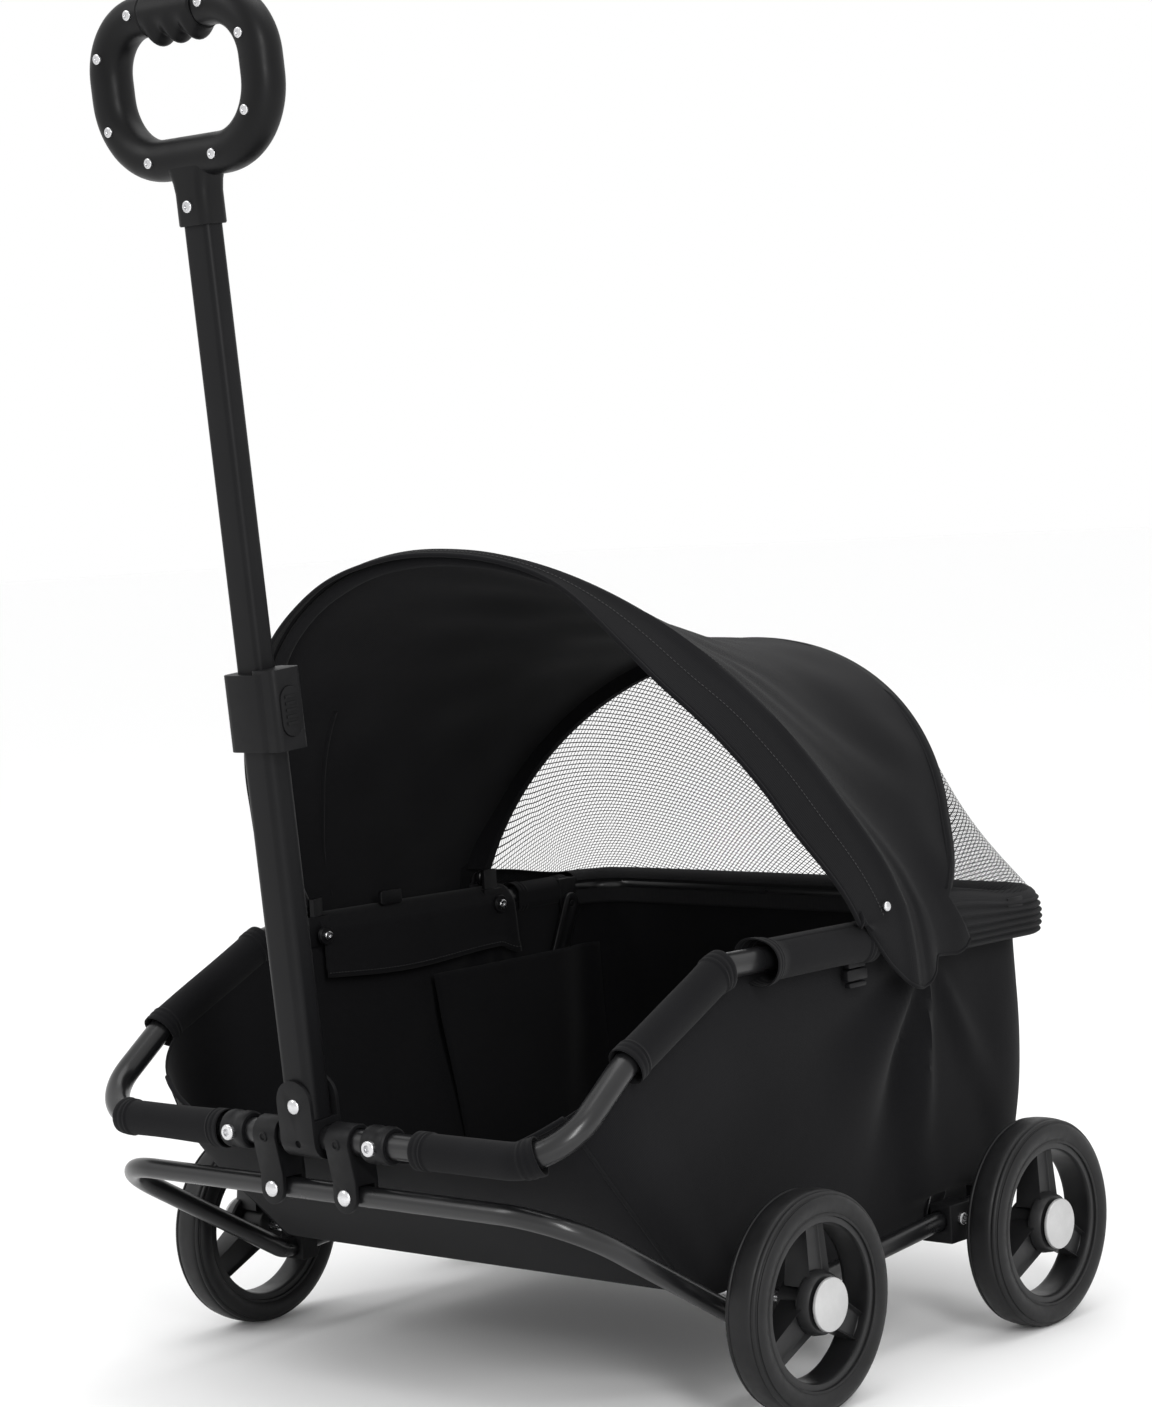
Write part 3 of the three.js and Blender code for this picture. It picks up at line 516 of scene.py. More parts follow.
def lathe(name, profile, look, centre=(0, 0, 0), axis=0, segments=72, closed=True, sharp=30):
    """A profile of (along, radius) points turned about an axis through centre."""
    profile = np.asarray(profile, float)
    angles = np.arange(segments) / segments * 2 * math.pi
    u, v = [(1, 2), (2, 0), (0, 1)][axis]
    rows = []
    for along, radius in profile:
        ring = np.zeros((segments, 3))
        ring[:, axis] = along
        ring[:, u] = radius * np.cos(angles)
        ring[:, v] = radius * np.sin(angles)
        rows.append(ring + np.array(centre))
    if closed:
        rows.append(rows[0])
    obj = flipped_outward(grid(name, rows, look, around=True, ends=not closed, sharp=sharp), COINCIDENT)
    obj.data.set_sharp_from_angle(angle=math.radians(sharp))
    return obj


def outline_solid(name, outline, plane, low, high, look):
    """A flat outline pulled out into a solid; plane is the axis that it is pulled along."""
    u, v = [(1, 2), (2, 0), (0, 1)][plane]
    points = []
    for level in (low, high):
        for a, b in outline:
            p = [0.0, 0.0, 0.0]
            p[plane], p[u], p[v] = level, a, b
            points.append(p)
    n = len(outline)
    faces = [tuple(range(n))[::-1], tuple(range(n, 2 * n))]
    faces += [(i, (i + 1) % n, n + (i + 1) % n, n + i) for i in range(n)]
    return flipped_outward(new_object(name, points, faces, look))


def rounded_rectangle(width, depth, radius, steps=8):
    points = []
    for cx, cy, start in ((1, 1, 0), (-1, 1, 90), (-1, -1, 180), (1, -1, 270)):
        for k in range(steps + 1):
            a = math.radians(start + 90 * k / steps)
            x = cx * (width / 2 - radius) + radius * math.cos(a)
            points.append((x, cy * (depth / 2 - radius) + radius * math.sin(a)))
    return points


def mirrored(side):
    """A bent path up one side and down the other; side gives the corners on the side of a sign."""
    return bent(side(-1) + side(1)[::-1], 4)


def both_ways(half):
    """A lathe profile that is the same on both sides of its middle."""
    return half + [(-along, radius) for along, radius in half[::-1]]


def ripple(seed, count=5, low=0.01, high=0.05):
    """A smooth, repeatable random surface f(u, v) from -1 to 1; low and high are waves per millimetre."""
    source = np.random.default_rng(seed)
    angle = source.uniform(0, math.pi, count)
    pitch = source.uniform(low, high, count) * 2 * math.pi
    phase = source.uniform(0, 2 * math.pi, count)
    size = source.uniform(0.5, 1, count)
    size /= size.sum()

    def value(u, v):
        total = 0
        for a, p, f, s in zip(angle, pitch, phase, size):
            total = total + s * np.sin((u * math.cos(a) + v * math.sin(a)) * p + f)
        return total

    return value


def smooth(x):
    x = np.clip(x, 0, 1)
    return x * x * (3 - 2 * x)


# ---- putting pieces on the frame ----------------------------------------------------------------
def moved(obj, place, angle=0.0, axis="X", base=Matrix()):
    """Turns a mesh by an angle in degrees about an axis through the origin, then moves it to a place."""
    turned = Matrix.Rotation(math.radians(angle), 4, axis)
    obj.data.transform(base @ Matrix.Translation(Vector(place) * MM) @ turned)
    return obj


def put(obj, body, slot, *nodes):
    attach(obj, body)
    if nodes:
        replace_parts(obj, *nodes)
    return obj


def from_cad(node, slot, width, segments):
    """A copy of a CAD piece with softened edges and its own material, in place of the plain one."""
    source = frame["nodes"][node]
    mesh = source.data.copy()
    mesh.name = node + "_finished"
    made = bmesh.new()
    made.from_mesh(mesh)
    bmesh.ops.remove_doubles(made, verts=made.verts, dist=2e-6)
    bmesh.ops.dissolve_limit(made, angle_limit=math.radians(2), verts=made.verts, edges=made.edges)
    made.to_mesh(mesh)
    made.free()
    mesh.materials.clear()
    mesh.materials.append(LOOKS[slot].material)
    obj = bpy.data.objects.new(node + "_finished", mesh)
    bpy.context.scene.collection.objects.link(obj)
    bevelled(obj, width, segments)
    return put(obj, source["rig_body"], slot, node)


def stitches(name, path, body=None):
    """A row of sewing stitches lying along a path."""
    length, radius = 2.5, 0.42
    path = even(path, 3.6)
    points, faces = [], []
    for a, b in zip(path[:-1], path[1:]):
        along = b - a
        reach = np.linalg.norm(along)
        if reach < 1e-6:
            continue
        along = along / reach
        side = np.cross(along, (0.3, 0.5, 0.81))
        side /= np.linalg.norm(side)
        top = np.cross(along, side)
        base = len(points)
        for share, scale in ((-0.5, 0.25), (-0.3, 1), (0.3, 1), (0.5, 0.25)):
            for k in range(5):
                turn = 2 * math.pi * k / 5
                round_it = side * math.cos(turn) + top * math.sin(turn)
                points.append((a + b) / 2 + along * share * length + round_it * radius * scale)
        for j in range(3):
            for k in range(5):
                n = (k + 1) % 5
                faces.append((base + j * 5 + k, base + j * 5 + n, base + j * 5 + 5 + n, base + j * 5 + 5 + k))
        faces.append(tuple(base + k for k in range(5))[::-1])
        faces.append(tuple(base + 15 + k for k in range(5)))
    obj = flipped_outward(new_object(name, points, faces, THREAD))
    return put(obj, body, "fabric") if body else obj


def socket_screw(name, centre, direction, radius, body, height=2.0):
    """A domed screw head with a six-sided socket; direction points out of the surface."""
    steps = 5
    dome = [(height * 0.55 + height * 0.45 * math.sin(math.radians(90 * k / steps)),
             radius * (0.78 + 0.22 * math.cos(math.radians(90 * k / steps)))) for k in range(steps + 1)]
    profile = [(-0.6, AXIS), (-0.6, radius), (0, radius), *dome, (height, radius * 0.5)]
    profile += [(height * 0.35, radius * 0.46), (height * 0.3, AXIS)]
    obj = lathe(name, profile, LOOKS["bright_steel"], axis=2, segments=24, closed=False)
    turn = Vector(direction).to_track_quat("Z", "Y").to_matrix().to_4x4()
    obj.data.transform(Matrix.Translation(Vector(centre) * MM) @ turn)
    return put(obj, body, "bright_steel")


# ---- base frame -------------------------------------------------------------------------------------
def base_path():
    def side(s):
        return [
            ((s * FRAME_HALF, RAIL_END_Y, rail_z(RAIL_END_Y)), 0),
            ((s * FRAME_HALF, RAIL_BEND_Y, rail_z(RAIL_BEND_Y)), 26),
            ((s * FRAME_HALF, *BASE_BAR), 62),
        ]

    return mirrored(side)


def build_base():
    rail = tube("base_tube_finished", base_path(), BASE_TUBE_R, LOOKS["tube_paint"])
    put(rail, "base", "tube_paint", "base_tube")
    for side, s in (("l", -1), ("r", 1)):
        end = np.array([s * FRAME_HALF, RAIL_END_Y, rail_z(RAIL_END_Y)])
        away = np.array([0, 1, (RAIL_REAR_Z - RAIL_FRONT_Z) / (REAR_AXLE_Y - FRONT_AXLE_Y)])
        plug = [end - away * 2, end + away * 1, end + away * 3, end + away * 3.6]
        put(tube(f"rail_plug_{side}", plug, [8.6, 8.6, 8, 6], LOOKS["plastic"]), "base", "plastic")
    for name, y in (("axle_front", FRONT_AXLE_Y), ("axle_rear", REAR_AXLE_Y)):
        reach = TRACK_HALF + HUB_HALF
        profile = both_ways([(reach, AXIS), (reach, AXLE_R - 0.6), (reach - 0.6, AXLE_R)])[::-1]
        steel = LOOKS["bright_steel"]
        bar = lathe(name + "_finished", profile, steel, (0, y, WHEEL_R), segments=32, closed=False)
        put(bar, "base", "bright_steel", name)
    for end in ("front", "rear"):
        for side in ("r", "l"):
            from_cad(f"axle_block_{end}_{side}", "plastic", 2.0, 3)
    for side, s in (("r", 1), ("l", -1)):
        rim = [(-1.5, AXIS), (-1.5, 2.2), (0.2, 2.4), (0.7, 3.1), (0.3, 3.9), (-1.6, 4.1)]
        eyelet = lathe(f"bracket_eyelet_{side}", rim, LOOKS["plastic"], axis=2, segments=32, closed=False)
        put(moved(eyelet, (s * BRACKET_X, PIVOT[0] - 14.1, PIVOT[1] - 1), 90), "base", "plastic")
        from_cad(f"hinge_bracket_{side}", "plastic", 1.2, 3)
        from_cad(f"prop_seat_{side}", "plastic", 1.6, 3)
        node = f"bracket_rivet_{side}"
        rivet_head(node + "_finished", (s * BRACKET_X, BASE_BAR[0] - 12.8, BASE_BAR[1]), 6.5, "base", node)
        node = f"seat_bolt_{side}"
        face = (s * (FRAME_HALF + 13.8), PROP_FOOT_Y, rail_z(PROP_FOOT_Y))
        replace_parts(socket_screw(node + "_finished", face, (s, 0, 0), 5, "base", 3), node)


def rivet_head(name, face, radius, body, *nodes, depth=25):
    """A domed rivet head in front of a plate, with its shank and tail left to the plate."""
    steps = 6
    dome = [(2.6 * math.sin(math.radians(90 * k / steps)), radius * math.cos(math.radians(90 * k / steps)))
            for k in range(steps)]
    shank = min(3.4, radius - 1)
    tail = [(-depth, AXIS), (-depth, radius - 1), (2 - depth, radius - 1), (2 - depth, shank)]
    profile = tail + [(-0.5, shank), (-0.5, radius)] + dome + [(2.6, AXIS)]
    obj = moved(lathe(name, profile, LOOKS["bright_steel"], axis=2, segments=32, closed=False), face, 90)
    return put(obj, body, "bright_steel", *nodes) if body else obj


# ---- wheels -----------------------------------------------------------------------------------------
def tyre_profile():
    """Across the tread: a lip and a bulged side wall, two ridges with a groove between and a round crown."""
    lip = [(12.6, 64.8), (14.6, 65.2), (15.0, 66.4), (14.5, 67.6)]
    wall = [(15.6, 69), (16.7, 72), (17, 75), (16.7, 77.6), (15.9, 79.6), (15.1, 80.7)]
    ridges = [(14.1, 80.7), (13.7, 81.2), (13.9, 82.2), (13.3, 83.2), (12.2, 83.8), (11.2, 83.8)]
    crown = [(10.5, 83.0), (9.8, 83.0), (9.2, 84.0), (7.6, 84.6), (4.5, 84.9), (1.6, WHEEL_R), (0, WHEEL_R)]
    half = lip + wall + ridges + crown
    return half + [(-x, r) for x, r in half[-2::-1]]


def build_wheel(end, side, s, y):
    centre = (s * TRACK_HALF, y, WHEEL_R)
    body = f"wheel_body_{end}_{side}"
    tyre = lathe(f"tyre_{end}_{side}_finished", tyre_profile(), LOOKS["tyre"], centre, segments=120, sharp=45)
    put(tyre, body, "tyre", f"tyre_{end}_{side}")
    band = both_ways([(9, 59.2), (11.6, 59.6), (13, 60.5), (13.2, 62), (13, 65.5)])
    pieces = [lathe("band", band, WHEEL, centre, segments=96)]
    hub = both_ways([(HUB_HALF, 4.9), (HUB_HALF, 14), (HUB_HALF - 1, 15)])
    pieces.append(lathe("hub", hub, WHEEL, centre, segments=48))
    collar = [(s * x, r) for x, r in ((6, 14.5), (6, 24), (8, 25), (15, 23.5), (17, 22), (17, 14.5))]
    pieces.append(lathe("collar", collar, WHEEL, centre, segments=48))
    for k in range(3):
        pieces.append(spoke(centre, 120 * k))
    wheel = joined(f"wheel_{end}_{side}_finished", pieces)
    put(wheel, body, "plastic", f"wheel_{end}_{side}")
    cap = [(0, AXIS), (0, 20.1), (0.6, 20.5), (2.2, 20.5), (2.9, 20.1), (3.3, 19.2), (3.4, AXIS)]
    cap = [(s * (HUB_HALF + 0.3 + x), r) for x, r in cap]
    disc = lathe(f"hub_cap_{end}_{side}_finished", cap, CAP, centre, segments=64, closed=False)
    put(disc, body, "bright_steel", f"hub_cap_{end}_{side}")


def spoke(centre, angle):
    """A box spoke, thicker at the hub, with a long pocket sunk between a rib down each side."""
    low, high = 13, 61
    outline = [(-12.5, low), (12.5, low), (10.5, high), (-10.5, high)]
    bar = outline_solid("spoke", outline, 0, -13, 13, WHEEL)
    made = bmesh.new()
    made.from_mesh(bar.data)
    made.faces.ensure_lookup_table()
    faces = [f for f in made.faces if abs(f.normal.x) > 0.9]
    bmesh.ops.inset_individual(made, faces=faces, thickness=3 * MM)
    for f in faces:
        for v in f.verts:
            v.co.x -= math.copysign(6 * MM, f.normal.x)
    for v in made.verts:
        v.co.x *= 1 - 0.28 * float(smooth((v.co.z / MM - low) / (high - low)))
    made.to_mesh(bar.data)
    made.free()
    return moved(bevelled(bar, 0.9, 3), centre, angle)


def build_wheels():
    for end, y in (("front", FRONT_AXLE_Y), ("rear", REAR_AXLE_Y)):
        for side, s in (("r", 1), ("l", -1)):
            build_wheel(end, side, s, y)


# ---- rim ----------------------------------------------------------------------------------------------
def rim_front_path():
    def side(s):
        return [
            ((s * FRAME_HALF, RIM_SPLIT_Y - 0.3, rim_z(RIM_SPLIT_Y)), 0),
            ((s * FRAME_HALF, *RIM_SHOULDER), 55),
            ((s * FRAME_HALF, *RIM_KNEE), 120),
            ((s * FRAME_HALF, *PIVOT), 48),
        ]

    return mirrored(side)


def rim_rear_path():
    def side(s):
        return [((s * FRAME_HALF, RIM_SPLIT_Y, rim_z(RIM_SPLIT_Y)), 0), ((s * FRAME_HALF, *RIM_REAR), 45)]

    return mirrored(side)


def build_rim():
    for node, path in (("rim_front_tube", rim_front_path()), ("rim_rear_tube", rim_rear_path())):
        made = tube(node + "_finished", path, RIM_TUBE_R, LOOKS["tube_paint"], 40)
        put(made, "rim", "tube_paint", node)
    for side, s in (("r", 1), ("l", -1)):
        for node in ("front_bow_clip", "mid_bow_clip", "prop_hanger"):
            from_cad(f"{node}_{side}", "plastic", 1.5, 3)
        x = s * COLLAR_X
        profile = both_ways([(12, 10.3), (12, 13), (11, 14.2), (9.5, 14.6), (4, 14.6), (3, 14.1)])[::-1]
        ring = lathe(f"tube_collar_{side}_finished", profile, LOOKS["plastic"], (x, *PIVOT), segments=64)
        put(ring, "rim", "plastic", f"tube_collar_{side}")
        node = f"collar_bolt_{side}"
        bolt = socket_screw(node + "_finished", (x, PIVOT[0] - 14.6, PIVOT[1]), (0, -1, 0), 6.2, "rim", 3.4)
        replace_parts(bolt, node)
    for side in ("r", "l"):
        from_cad(f"prop_{side}", "tube_paint", 0.7, 2)


# ---- sleeves sewn round the rim's tubes --------------------------------------------------------------
def part_of(path, keep):
    """The stretch of a path whose points satisfy keep, finely spaced."""
    return np.array([p for p in even(path, 1.5) if keep(p)])


def sleeve(name, path, radius, seed, droop=2.0, flare=0.0):
    """Cloth wrapped round a tube, with a doubled hem at each end, long shallow folds and a seam ridge below.
    flare opens the sleeve's first end by that many millimetres."""
    path = even(path, 1.0)
    total = np.linalg.norm(np.diff(path, axis=0), axis=1).sum()
    rough = ripple(seed, 4, 0.004, 0.014)

    def shape(angle, length):
        edge = min(length, total - length)
        hem = 0.075 * (1 - float(smooth((edge - 11.5) / 1.2)))
        groove = 0.06 * math.exp(-((edge - 9.4) / 0.7) ** 2) + 0.05 * math.exp(-((edge - 4.5) / 0.7) ** 2)
        low = max(0.0, -math.sin(angle))
        soft = 0.065 * float(rough(length, angle * radius))
        open_end = flare / radius * float(1 - smooth(length / 26)) * (0.6 + 0.4 * math.sin(angle * 2 + 1.2))
        return 1 + hem - groove + soft + droop / radius * low ** 2 + open_end

    obj = tube(name, path, radius, LOOKS["fabric"], 56, ends=False, shape=shape)
    for vertex in obj.data.vertices:
        if vertex.co.y > 0.02 and abs(vertex.co.x) < PROP_CLEAR * MM:
            vertex.co.x = math.copysign(PROP_CLEAR * MM, vertex.co.x)
    thick(obj, 0.9)
    put(obj, "rim", "fabric")


def build_sleeves():
    front = rim_front_path()
    sleeve("sleeve_front_right", part_of(front, lambda p: 112 < p[0] < 226 and p[1] < -270), 12.9, 11)
    sleeve("sleeve_front_left", part_of(front, lambda p: -212 < p[0] < -92 and p[1] < -270), 12.9, 12)
    slope = part_of(front, lambda p: p[0] > 240 and -200 < p[1] < -82)
    sleeve("sleeve_slope_right", slope, 13.4, 13, droop=3.5)
    slope = part_of(front, lambda p: p[0] < -240 and -207 < p[1] < -88)
    sleeve("sleeve_slope_left", slope, 13.6, 14, droop=3)
    rear = rim_rear_path()
    right = part_of(rear, lambda p: p[0] > 240 and -48 < p[1] < 104)[::-1]
    sleeve("sleeve_side_right", right, 14.2, 15, droop=4, flare=7)
    sleeve("sleeve_side_left", part_of(rear, lambda p: p[0] < -240 and -29 < p[1] < 216), 12.9, 16, droop=1)
    sleeve("sleeve_rear_left", part_of(rear, lambda p: p[0] < -240 and 226 < p[1] < 300), 13.0, 17)


# ---- basket -------------------------------------------------------------------------------------------
BASKET_TOP_HALF = 238.5
BASKET_FLOOR_HALF = 226
FRONT_SHARE = 0.24  # of half the way round: the front panel
REAR_SHARE = 0.26
FLOOR_Z = 93
PAD_Y = 102.5
PAD_Z = 99.4


def stretch(points, t):
    """A point at share t of a polyline's length."""
    points = np.asarray(points, float)
    lengths = distances(points)
    return np.array([np.interp(t * lengths[-1], lengths, points[:, k]) for k in range(points.shape[1])])


def top_edge(t):
    """The basket's upper edge: it sags freely across the front and is held to the rim's tube elsewhere."""
    half = BASKET_TOP_HALF
    below = 4
    if t < FRONT_SHARE:
        u = t / FRONT_SHARE
        return np.array([(half - 8) * u, -259 + 9 * u ** 4, 206 + 44 * u ** 3.4])
    if t > 1 - REAR_SHARE:
        u = (t - 1 + REAR_SHARE) / REAR_SHARE
        rear, z = RIM_REAR[0] - 9, rim_z(330) - below
        return stretch(bent([((half, 270, z + 1), 0), ((half, rear, z), 36), ((0, rear, z), 0)], 6), u)
    u = (t - FRONT_SHARE) / (1 - FRONT_SHARE - REAR_SHARE)
    line = bent([
        ((half - 8, -250, 250), 0),
        ((half, RIM_KNEE[0] - 16, RIM_KNEE[1] - 20), 20),
        ((half, RIM_KNEE[0] + 6, RIM_KNEE[1] - below), 60),
        ((half, RIM_SHOULDER[0], RIM_SHOULDER[1] - below), 60),
        ((half, 270, rim_z(270) - below), 0),
    ], 6)
    return stretch(line, u)


def bottom_edge(t):
    half = BASKET_FLOOR_HALF
    if t < FRONT_SHARE:
        return np.array([half * t / FRONT_SHARE, -110, FLOOR_Z])
    if t > 1 - REAR_SHARE:
        u = (t - 1 + REAR_SHARE) / REAR_SHARE
        line = bent([((half, 262, FLOOR_Z), 0), ((half, 311, FLOOR_Z), 34), ((0, 311, FLOOR_Z), 0)], 6)
        return stretch(line, u)
    u = (t - FRONT_SHARE) / (1 - FRONT_SHARE - REAR_SHARE)
    y = -110 + u * (262 + 110)
    behind_rail = min(rail_z(y) - 4, FLOOR_Z + 2)
    axle = math.exp(-((y - FRONT_AXLE_Y) / 13) ** 4)
    z = behind_rail + (FLOOR_Z - behind_rail) * max(axle, float(smooth((-72 - y) / 18)))
    return np.array([half + 2 - 2 * u, y, z])


def basket_point(share, level):
    """A point of the basket's wall. share runs 0..1 from the front middle, by the right, to the front middle;
    level runs 0 at the top edge to 1 at the floor."""
    mirror = 1 if share <= 0.5 else -1
    t = 2 * (share if share <= 0.5 else 1 - share)
    p = top_edge(t) * (1 - level) + bottom_edge(t) * level
    if mirror < 0:
        pinch = float(smooth((-196 - p[1]) / 62)) * float(smooth((p[2] - 120) / 90))
        p[0] *= 1 - 0.13 * pinch
    p[0] *= mirror
    return p


def round_corners(rows):
    """Softens the two front corners, most at the free top edge."""
    columns = rows.shape[1]
    corner = columns * FRONT_SHARE / 2
    at = np.arange(columns)
    near = np.minimum(np.abs(at - corner), np.abs(at - (columns - corner)))
    weight = np.exp(-(near / 9.0) ** 2)[None, :, None] * 0.9
    for _ in range(14):
        rows += ((np.roll(rows, 1, axis=1) + np.roll(rows, -1, axis=1)) / 2 - rows) * weight


def basket_floor(ring):
    """Rows from the walls' lower edge to the middle of the basket's floor, below the board."""
    middle = np.array([0, 95, FLOOR_Z])
    rows = []
    for share in (0.02, 0.05, 0.09, 0.3, 0.6, 0.9, 0.999):
        row = ring + (middle - ring) * share
        row[:, 2] = ring[:, 2] + (FLOOR_Z - ring[:, 2]) * float(smooth(share / 0.05))
        rows.append(row)
    return np.array(rows)


def build_basket():
    columns, levels = 300, 60
    shares = np.arange(columns) / columns
    rows = np.array([[basket_point(share, j / levels) for share in shares] for j in range(levels + 1)])
    round_corners(rows)
    push(rows, ripple(31, 7, 0.002, 0.009))
    obj = grid("basket_cloth", np.concatenate([rows, basket_floor(rows[-1])]), LOOKS["fabric"], around=True)
    blended(thick(flipped_outward(obj), 1.1, 0.0))
    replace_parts(obj, "basket")
    build_basket_edges(rows)
    build_linings(rows)


def build_linings(rows):
    """An inner panel before each side wall, sewn on at its rear and foot: the folding prop runs behind it."""
    levels, columns = rows.shape[:2]
    for side, s in (("right", 1), ("left", -1)):
        wanted = [i for i in range(columns) if rows[8, i, 0] * s > 200 and 96 < rows[8, i, 1] < 334]
        patch = rows[12:levels - 2][:, wanted].copy()
        if patch[0, 0, 1] > patch[0, -1, 1]:
            patch = patch[:, ::-1]
        pocket = smooth((1 - np.linspace(0, 1, patch.shape[1])) / 0.26)
        rough = ripple(71 + s, 4, 0.003, 0.012)
        inner = 225.5 + 1.6 * rough(patch[..., 1], patch[..., 2])
        wall = np.abs(patch[..., 0]) - 2.2
        patch[..., 0] = s * (wall + (np.minimum(inner, wall) - wall) * pocket)
        lining = blended(thick(grid(f"side_lining_{side}", patch, LOOKS["fabric"]), 0.9, 0.0))
        flat = (mean_length(patch), mean_length(patch.transpose(1, 0, 2)))


def mean_length(rows):
    """The mean length in metres of rows of points, to the millimetre."""
    return round(float(np.linalg.norm(np.diff(rows, axis=1), axis=2).sum(axis=1).mean()) * MM, 3)


def build_basket_edges(rows):
    """A round hem along the front panel's free edge and a piped seam down each front corner."""
    columns = rows.shape[1]
    reach = int(columns * FRONT_SHARE / 2)
    order = [i % columns for i in range(-reach, reach + 1)]
    blended(tube("front_edge_hem", even(rows[0][order], 4), 2.1, LOOKS["fabric"], 12))
    for side, column in (("right", reach), ("left", -reach)):
        seam = even(rows[:, column % columns], 4)
        blended(tube(f"corner_seam_{side}", seam, 1.7, LOOKS["fabric"], 10))


def blended(obj):
    """Basket cloth work, with its transform put into its mesh."""
    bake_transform(obj)
    return obj


def push(rows, rough):
    """Bulges and folds in the basket's walls, along each point's outward direction."""
    levels = rows.shape[0]
    du = np.roll(rows, -1, axis=1) - np.roll(rows, 1, axis=1)
    dv = np.gradient(rows, axis=0)
    normal = np.cross(du, dv)
    normal /= np.maximum(np.linalg.norm(normal, axis=2), 1e-9)[..., None]
    facing = np.sign(((rows - np.array([0, 60, 200])) * normal).sum(axis=2))
    normal *= facing[..., None]
    v = np.linspace(0, 1, levels)[:, None]
    belly = np.sin(math.pi * v) ** 0.8
    low_belly = np.sin(math.pi * v ** 1.5) ** 0.9
    y, z = rows[..., 1], rows[..., 2]
    rearness = smooth((y - 250) / 70)
    amount = 2.6 * belly * rough(y + 0.3 * rows[..., 0], z)
    amount += 20 * low_belly * rearness
    amount += 3.5 * belly * (1 - rearness)
    amount += folds(rows) * belly ** 0.4
    rows += normal * amount[..., None]
    over_prop = smooth((y - 150) / 40) * smooth((z - 104) / 12) * (1 - smooth((z - 326) / 8))
    out = np.abs(rows[..., 0])
    on_side = smooth((out - 222) / 6) * (1 - smooth((y - 312) / 14))
    clear = (237.2 + np.log1p(np.exp(np.clip((out - 238) / 2.2, -30, 30))) * 2.2) * np.sign(rows[..., 0])
    rows[..., 0] += (clear - rows[..., 0]) * over_prop * on_side


def folds(rows):
    """Soft folds in each side wall that fan out from where the canopy's corner pulls on the cloth."""
    x, y, z = rows[..., 0], rows[..., 1], rows[..., 2]
    angle = np.degrees(np.arctan2(318 - z, y - 196))
    reach = np.hypot(y - 196, z - 318)
    out = np.zeros_like(y)
    for at, width, height in ((60, 8, 6.0), (80, 8, -7.0), (95, 6.5, 9.0), (112, 9, -10.0), (134, 12, 7.5),
                              (156, 11, -6.0)):
        fade = smooth(reach / 60) * (1 - 0.75 * smooth((reach - 90) / 140))
        out += height * np.exp(-(((angle - at) / width) ** 2)) * fade
    return out * smooth((np.abs(x) - 190) / 34) * (1 - smooth((y - 265) / 40)) * np.where(x > 0, 1, 0.45)


def build_inner_bands():
    """The wide flap of each side sleeve: over the rim's tube and down inside the folded prop."""
    ys = np.linspace(-29, 214, 100)
    rear_end = ys[-1]
    for side, s in (("right", 1), ("left", -1)):
        rough = ripple(51 if s > 0 else 52, 4, 0.004, 0.02)
        rows = []
        for a in np.radians(np.linspace(-30, 42, 9)):
            x, up = s * (FRAME_HALF - BAND_R * math.sin(a)), BAND_R * math.cos(a)
            rows.append([(x, y, rim_z(y) + up) for y in ys])
        for v in np.linspace(0, 1, 22):
            row = []
            for y in ys:
                drop = 44 + 3.0 * math.sin(y / 41.0) + 7 * float(smooth((y - 190) / 20))
                edge = FRAME_HALF - BAND_R - 3.8 * float(smooth((v + 0.1) / 0.16))
                curl = 3.5 * math.exp(-((rear_end - y) / 9) ** 2)
                lean = v * (1.2 + 1.4 * abs(float(rough(y, v * drop))) + curl)
                hem = 0.9 * float(smooth((v - 0.8) / 0.03))
                row.append((s * (edge - lean - hem), y, rim_z(y) + 2 - drop * v))
            rows.append(row)
        flap = thick(grid(f"inner_band_{side}", rows, LOOKS["fabric"]), 1.4, 0.0)
        put(flap, "rim", "fabric")
        edge = np.array(rows[-3]) - np.array([s * 1.2, 0, 0])
        sewing = stitches(f"inner_band_stitches_{side}", edge, "rim")


def rim_outline(out, start_y):
    """The rim's rear bend in plan, moved outward, from one side at start_y round to the other."""
    half, rear = FRAME_HALF + out, RIM_REAR[0] + out

    def side(s):
        return [((s * half, start_y, 0), 0), ((s * half, rear, 0), 45 + out)]

    return bent(side(1) + side(-1)[::-1], 4)


def build_small_clips():
    """Screws in the bow clips' inner faces, the slider between canopy and band, and the rail's strap clip."""
    for side, s in (("right", 1), ("left", -1)):
        for name, y in (("front", FRONT_BOW[side]), ("mid", MID_BOW[side])):
            socket_screw(f"{name}_clip_screw_{side}", (s * 225.2, y, 334), (-s, 0, 0), 4.2, "rim", 1.8)
            boss = [(-3.4, AXIS), (-3.4, 8), (-0.6, 8), (0, 7.4), (0, AXIS)]
            name = f"{name}_clip_boss_{side}"
            disc = lathe(name, boss, LOOKS["plastic"], axis=2, segments=32, closed=False)
            put(moved(disc, (s * 226, y, 334), -90 * s, "Y"), "rim", "plastic")
    slider = outline_solid("canopy_slider", rounded_rectangle(26, 13, 3), 0, -2, 2, LOOKS["plastic"])
    put(bevelled(moved(slider, (-238, 62, 356)), 0.7, 2), "rim", "plastic")
    parts = []
    for k, (z, width, height) in enumerate(((317, 22, 5), (309, 26, 9), (301, 22, 4))):
        outline = rounded_rectangle(width, height, 1.6)
        block = outline_solid("clip", outline, 0, -3.2 + 0.5 * k, 3.2, LOOKS["plastic"])
        parts.append(bevelled(moved(block, (246, 86, z)), 0.6, 2))
    put(joined("strap_clip", parts), "rim", "plastic")


